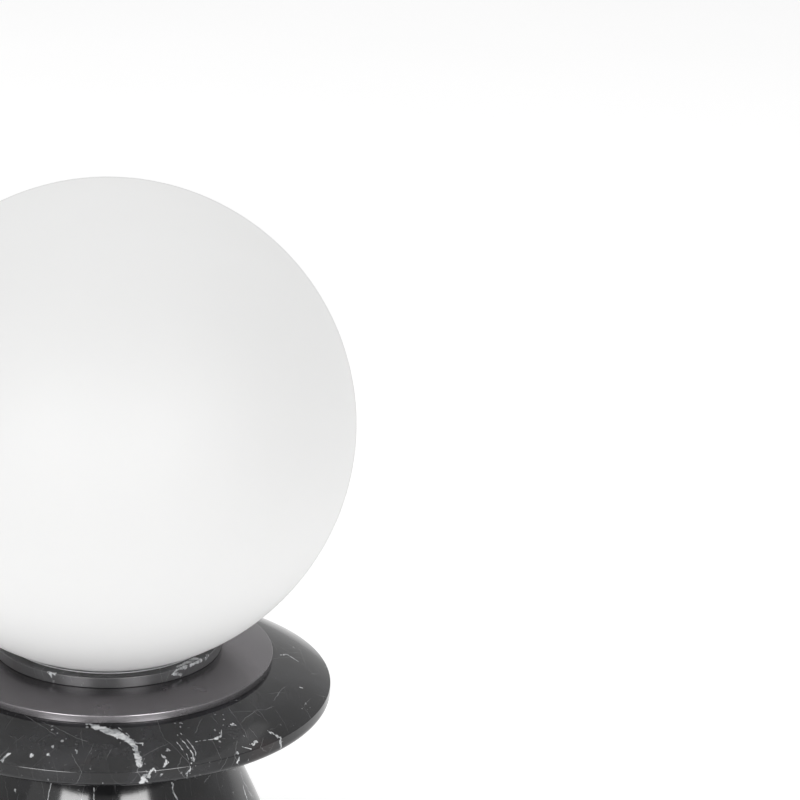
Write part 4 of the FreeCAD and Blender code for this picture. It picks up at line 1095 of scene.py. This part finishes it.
class LAMP_OT_marble_body(bpy.types.Operator):
    """Flared stone body with the wiring recess under it"""
    bl_idname = "lamp.marble_body"
    bl_label = "Marble body"

    def execute(self, context):
        shape = context.scene.lamp_shape
        foot = reach("marble_body")
        top, bottom = high("marble_body"), low("marble_body")
        cover = reach("base_cover") + shape.rest_gap
        ledge = high("base_cover")
        ceiling = bottom + shape.recess_depth
        small, recess_round = 0.4 * MM, 1.0 * MM
        corners = [(foot, bottom, shape.body_foot)]
        corners += bow((foot, bottom), (shape.body_top, top), -shape.body_bulge, FLANK_STEPS)
        corners += [(shape.body_top, top, shape.body_shoulder), (shape.stone_bore, top, small)]
        corners += [(shape.stone_bore, ceiling, small), (shape.recess, ceiling, recess_round)]
        corners += [(shape.recess, ledge, small), (cover, ledge, small), (cover, bottom, small)]
        finish = polished_stone(context, "body_marble", BODY_VEINS, 0.23)
        body = turned_piece("stone_body", outline(corners, steps=8), finish, shape.segments)
        cut_inlet(body, shape)
        settle(body, "root", "black_marble", "marble_body")
        return {"FINISHED"}


def drill(work, radius, start, end):
    """Cylinder from start to end, added to the mesh that cuts the body."""
    way = end - start
    turn = Vector((0.0, 0.0, 1.0)).rotation_difference(way).to_matrix().to_4x4()
    place = Matrix.Translation((start + end) / 2) @ turn
    bmesh.ops.create_cone(
        work, cap_ends=True, segments=HOLE_FACETS, radius1=radius, radius2=radius,
        depth=way.length, matrix=place)


def cut_inlet(body, shape):
    """Cuts the cable inlet, with its spot face, and the holes for the threaded inserts."""
    bush_low, bush_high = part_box("inlet_bush")
    level = (bush_low.z + bush_high.z) / 2
    outside = Vector((0.0, bush_high.y + OVERCUT, level))
    subtract(body, [(shape.inlet, Vector((0.0, shape.recess - INLET_START, level)), outside)])
    face = (bush_high.x - bush_low.x) / 2 + shape.rest_gap
    subtract(body, [(face, Vector((0.0, bush_high.y - shape.inlet_flange, level)), outside)])
    insert_low, insert_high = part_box("cover_inserts")
    ring = -insert_low.y - shape.insert_hole + shape.fit_gap
    holes = []
    for angle in INSERT_ANGLES:
        turn = math.radians(angle)
        start = Vector((ring * math.cos(turn), ring * math.sin(turn), insert_low.z - INSERT_START))
        holes.append((shape.insert_hole, start, Vector((start.x, start.y, insert_high.z))))
    subtract(body, holes)
    body.data.set_sharp_from_angle(angle=math.radians(SHARP_ANGLE))


def subtract(piece, cylinders):
    """Takes cylinders, each a radius, a start and an end, away from a piece."""
    work = bmesh.new()
    for radius, start, end in cylinders:
        drill(work, radius, start, end)
    cutter = bpy.data.meshes.new("cutter")
    work.to_mesh(cutter)
    work.free()
    tool = bpy.data.objects.new("cutter", cutter)
    bpy.context.scene.collection.objects.link(tool)
    modifier = piece.modifiers.new("cut", "BOOLEAN")
    modifier.operation = "DIFFERENCE"
    modifier.solver = "EXACT"
    modifier.object = tool
    bpy.context.view_layer.update()
    evaluated = piece.evaluated_get(bpy.context.evaluated_depsgraph_get())
    mesh = bpy.data.meshes.new_from_object(evaluated)
    piece.modifiers.remove(modifier)
    old = piece.data
    piece.data = mesh
    bpy.data.meshes.remove(old)
    mesh.name = piece.name
    bpy.data.objects.remove(tool)
    bpy.data.meshes.remove(cutter)


class LAMP_OT_foot_pad(bpy.types.Operator):
    """Felt ring that the lamp stands on"""
    bl_idname = "lamp.foot_pad"
    bl_label = "Foot pad"

    def execute(self, context):
        shape = context.scene.lamp_shape
        outer, inner = reach("foot_pad"), shape.pad_inside
        top = high("foot_pad")
        edge = 0.5 * MM
        corners = [(outer, 0.0, edge), (outer, top, edge), (inner, top, edge), (inner, 0.0, edge)]
        finish = felt_material(context.scene.lamp_fittings)
        pad = turned_piece("felt_pad", outline(corners), finish, shape.segments)
        settle(pad, "root", "black_felt", "foot_pad")
        return {"FINISHED"}


class LAMP_OT_led_chips(bpy.types.Operator):
    """Yellow chips on both faces of the bulb's board"""
    bl_idname = "lamp.led_chips"
    bl_label = "LED chips"

    def execute(self, context):
        lowest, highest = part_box("bulb_core")
        chip = Vector((1.8, 0.5, 2.2)) * MM
        columns, rows = 3, 8
        side, foot, head = 1.7 * MM, 4.0 * MM, 3.0 * MM
        first = Vector((lowest.x + side, lowest.y, lowest.z + foot))
        last = Vector((highest.x - side, highest.y, highest.z - head))
        span = last - first
        inputs = {"Corner": first, "Size": chip, "Columns": columns, "Rows": rows}
        inputs["Step"] = Vector((span.x / (columns - 1), span.y, span.z / (rows - 1)))
        inputs["Finish"] = soft_plastic("led_phosphor", context.scene.lamp_fittings.phosphor, 0.4)
        chips = grown("led_chips", once("Chip rows", chips_tree), inputs)
        settle(chips, "bulb", "led_board")
        return {"FINISHED"}


class LAMP_OT_fittings(bpy.types.Operator):
    """Finishes of the fittings held inside the lamp"""
    bl_idname = "lamp.fittings"
    bl_label = "Fittings"

    def execute(self, context):
        metal = context.scene.lamp_metal
        small = context.scene.lamp_fittings
        zinc = satin_metal("zinc_steel", metal.zinc, 0.30, 700.0, 0.006)
        coat(thread_material(metal), "tie_tube")
        coat(zinc, "top_nut", "lock_washer", "bracket_nut", "base_nut", "base_washer")
        coat(zinc, "lampholder_bracket", "holder_screws", "terminal_screws", "terminal_mount_screw")
        coat(satin_metal("spring_steel", metal.spring, 0.28), "globe_spring")
        brass = satin_metal("brass", metal.brass, 0.30)
        coat(brass, "socket_contacts", "cover_inserts", "terminal_barrels")
        coat(satin_metal("black_steel", small.black_steel, 0.45), "cover_screws")
        coat(satin_metal("pin_steel", small.pin_steel, 0.22), "bulb_pins")
        coat(soft_plastic("black_rubber", small.rubber, 0.6), "cushion_washer", "inlet_bush")
        coat(soft_plastic("white_ceramic", small.ceramic, 0.22), "lampholder")
        coat(soft_plastic("white_plastic", small.white, 0.35), "tube_bushes", "bulb_base")
        coat(soft_plastic("terminal_plastic", small.terminal, 0.45), "terminal_block")
        coat(soft_plastic("frosted_plastic", small.envelope, 0.4, clear=0.6), "bulb_envelope")
        coat(soft_plastic("led_board", small.board, 0.4), "bulb_core")
        coat(soft_plastic("cover_plastic", small.cover, 0.5), "base_cover")
        coat(soft_plastic("lead_insulation", small.insulation, 0.4), "inner_leads")
        return {"FINISHED"}


class LAMP_OT_stage(bpy.types.Operator):
    """Plain pale floor, soft studio light and the camera"""
    bl_idname = "lamp.stage"
    bl_label = "Stage"

    def execute(self, context):
        settings = context.scene.lamp_stage
        make_floor(settings)
        make_world(context, settings)
        make_lights(settings)
        make_camera(context, settings)
        context.scene.view_settings.view_transform = "Standard"
        return {"FINISHED"}


def make_floor(settings):
    mesh = bpy.data.meshes.new("floor")
    corners = [(x * FLOOR_HALF, y * FLOOR_HALF, 0.0) for x, y in ((-1, -1), (1, -1), (1, 1), (-1, 1))]
    mesh.from_pydata(corners, [], [(0, 1, 2, 3)])
    floor = bpy.data.objects.new("floor", mesh)
    bpy.context.scene.collection.objects.link(floor)
    material, tree, shader, place = new_material("pale_floor")
    tone = ramp(tree, noise(tree, place, 2.0, 3.0), 0.3, 0.7)
    shade = blend_colour(tree, tone, toned(settings.floor, 0.99), settings.floor)
    link(tree, shade, shader, "Base Color")
    set_values(shader, {"Roughness": 0.7, "Emission Color": (1.0, 1.0, 1.0, 1.0)})
    set_values(shader, {"Emission Strength": settings.floor_glow})
    mesh.materials.append(material)


def make_world(context, settings):
    """White surround: seen as plain white, and lighting the lamp with its own radiance."""
    world = bpy.data.worlds.new("surround")
    world.use_nodes = True
    tree = world.node_tree
    background = tree.nodes["Background"]
    background.inputs["Color"].default_value = (1.0, 1.0, 1.0, 1.0)
    seen = tree.nodes.new("ShaderNodeLightPath").outputs["Is Camera Ray"]
    strength = calc(tree, "MULTIPLY_ADD", seen, 1.0 - settings.world, settings.world)
    tree.links.new(strength, background.inputs["Strength"])
    context.scene.world = world


def soft_light(name, place, aim, size, power):
    """Rectangular softbox at a place, facing a point."""
    data = bpy.data.lights.new(name, "AREA")
    data.shape = "RECTANGLE"
    data.size, data.size_y = size
    data.energy = power
    light = bpy.data.objects.new(name, data)
    bpy.context.scene.collection.objects.link(light)
    way = Vector(aim) - Vector(place)
    turn = way.to_track_quat("-Z", "Y").to_matrix().to_4x4()
    light.matrix_world = Matrix.Translation(place) @ turn
    return light


def make_lights(settings):
    """Softboxes above and at the left, and two strips that only the reflections show."""
    soft_light("overhead_box", OVERHEAD_PLACE, FLOOR_AIM, OVERHEAD_SIZE, settings.overhead)
    soft_light("left_box", FILL_PLACE, GLOBE_AIM, FILL_SIZE, settings.fill)
    for name, angle in STRIP_ANGLES.items():
        turn = math.radians(angle)
        x, y = STRIP_DISTANCE * math.sin(turn), -STRIP_DISTANCE * math.cos(turn)
        strip = soft_light(name, (x, y, STRIP_HEIGHT), DISC_AIM, STRIP_SIZE, settings.strips)
        strip.visible_diffuse = False


def make_camera(context, settings):
    data = bpy.data.cameras.new("camera")
    data.lens = settings.lens
    data.sensor_width = SENSOR_WIDTH
    camera = bpy.data.objects.new("camera", data)
    context.scene.collection.objects.link(camera)
    back = settings.distance * math.cos(settings.height)
    up = globe_centre() + settings.distance * math.sin(settings.height)
    tilt = Matrix.Rotation(math.radians(90.0) - settings.tilt, 4, "X")
    pan = Matrix.Rotation(-settings.pan, 4, "Y")
    roll = Matrix.Rotation(settings.roll, 4, "Z")
    camera.matrix_world = Matrix.Translation((0.0, -back, up)) @ tilt @ pan @ roll
    context.scene.camera = camera


class LAMP_PT_panel(bpy.types.Panel):
    """Lists the lamp's pieces in the 3D view's sidebar"""
    bl_idname = "LAMP_PT_panel"
    bl_label = "Glass globe lamp"
    bl_space_type = "VIEW_3D"
    bl_region_type = "UI"
    bl_category = "Lamp"

    def draw(self, context):
        for operator in OPERATORS:
            self.layout.operator(operator.bl_idname)
        for name in SETTINGS:
            box = self.layout.box()
            group = getattr(context.scene, name)
            for key in group.bl_rna.properties.keys():
                if key not in ("rna_type", "name"):
                    box.prop(group, key)


SETTINGS = {
    "lamp_shape": LampShape,
    "lamp_stone": StoneFinish,
    "lamp_metal": MetalFinish,
    "lamp_glass": GlassFinish,
    "lamp_fittings": FittingFinish,
    "lamp_stage": StageSettings,
}

OPERATORS = (
    LAMP_OT_stage,
    LAMP_OT_glass_globe,
    LAMP_OT_seat_gasket,
    LAMP_OT_marble_collar,
    LAMP_OT_metal_plate,
    LAMP_OT_marble_disc,
    LAMP_OT_marble_body,
    LAMP_OT_foot_pad,
    LAMP_OT_led_chips,
    LAMP_OT_fittings,
)


def register():
    for name, group in SETTINGS.items():
        bpy.utils.register_class(group)
        setattr(bpy.types.Scene, name, PointerProperty(type=group))
    for operator in OPERATORS:
        bpy.utils.register_class(operator)
    bpy.utils.register_class(LAMP_PT_panel)


def unregister():
    bpy.utils.unregister_class(LAMP_PT_panel)
    for operator in reversed(OPERATORS):
        bpy.utils.unregister_class(operator)
    for name, group in SETTINGS.items():
        delattr(bpy.types.Scene, name)
        bpy.utils.unregister_class(group)


def main():
    register()
    for operator in OPERATORS:
        group, name = operator.bl_idname.split(".")
        getattr(getattr(bpy.ops, group), name)()


if __name__ == "__main__":
    main()
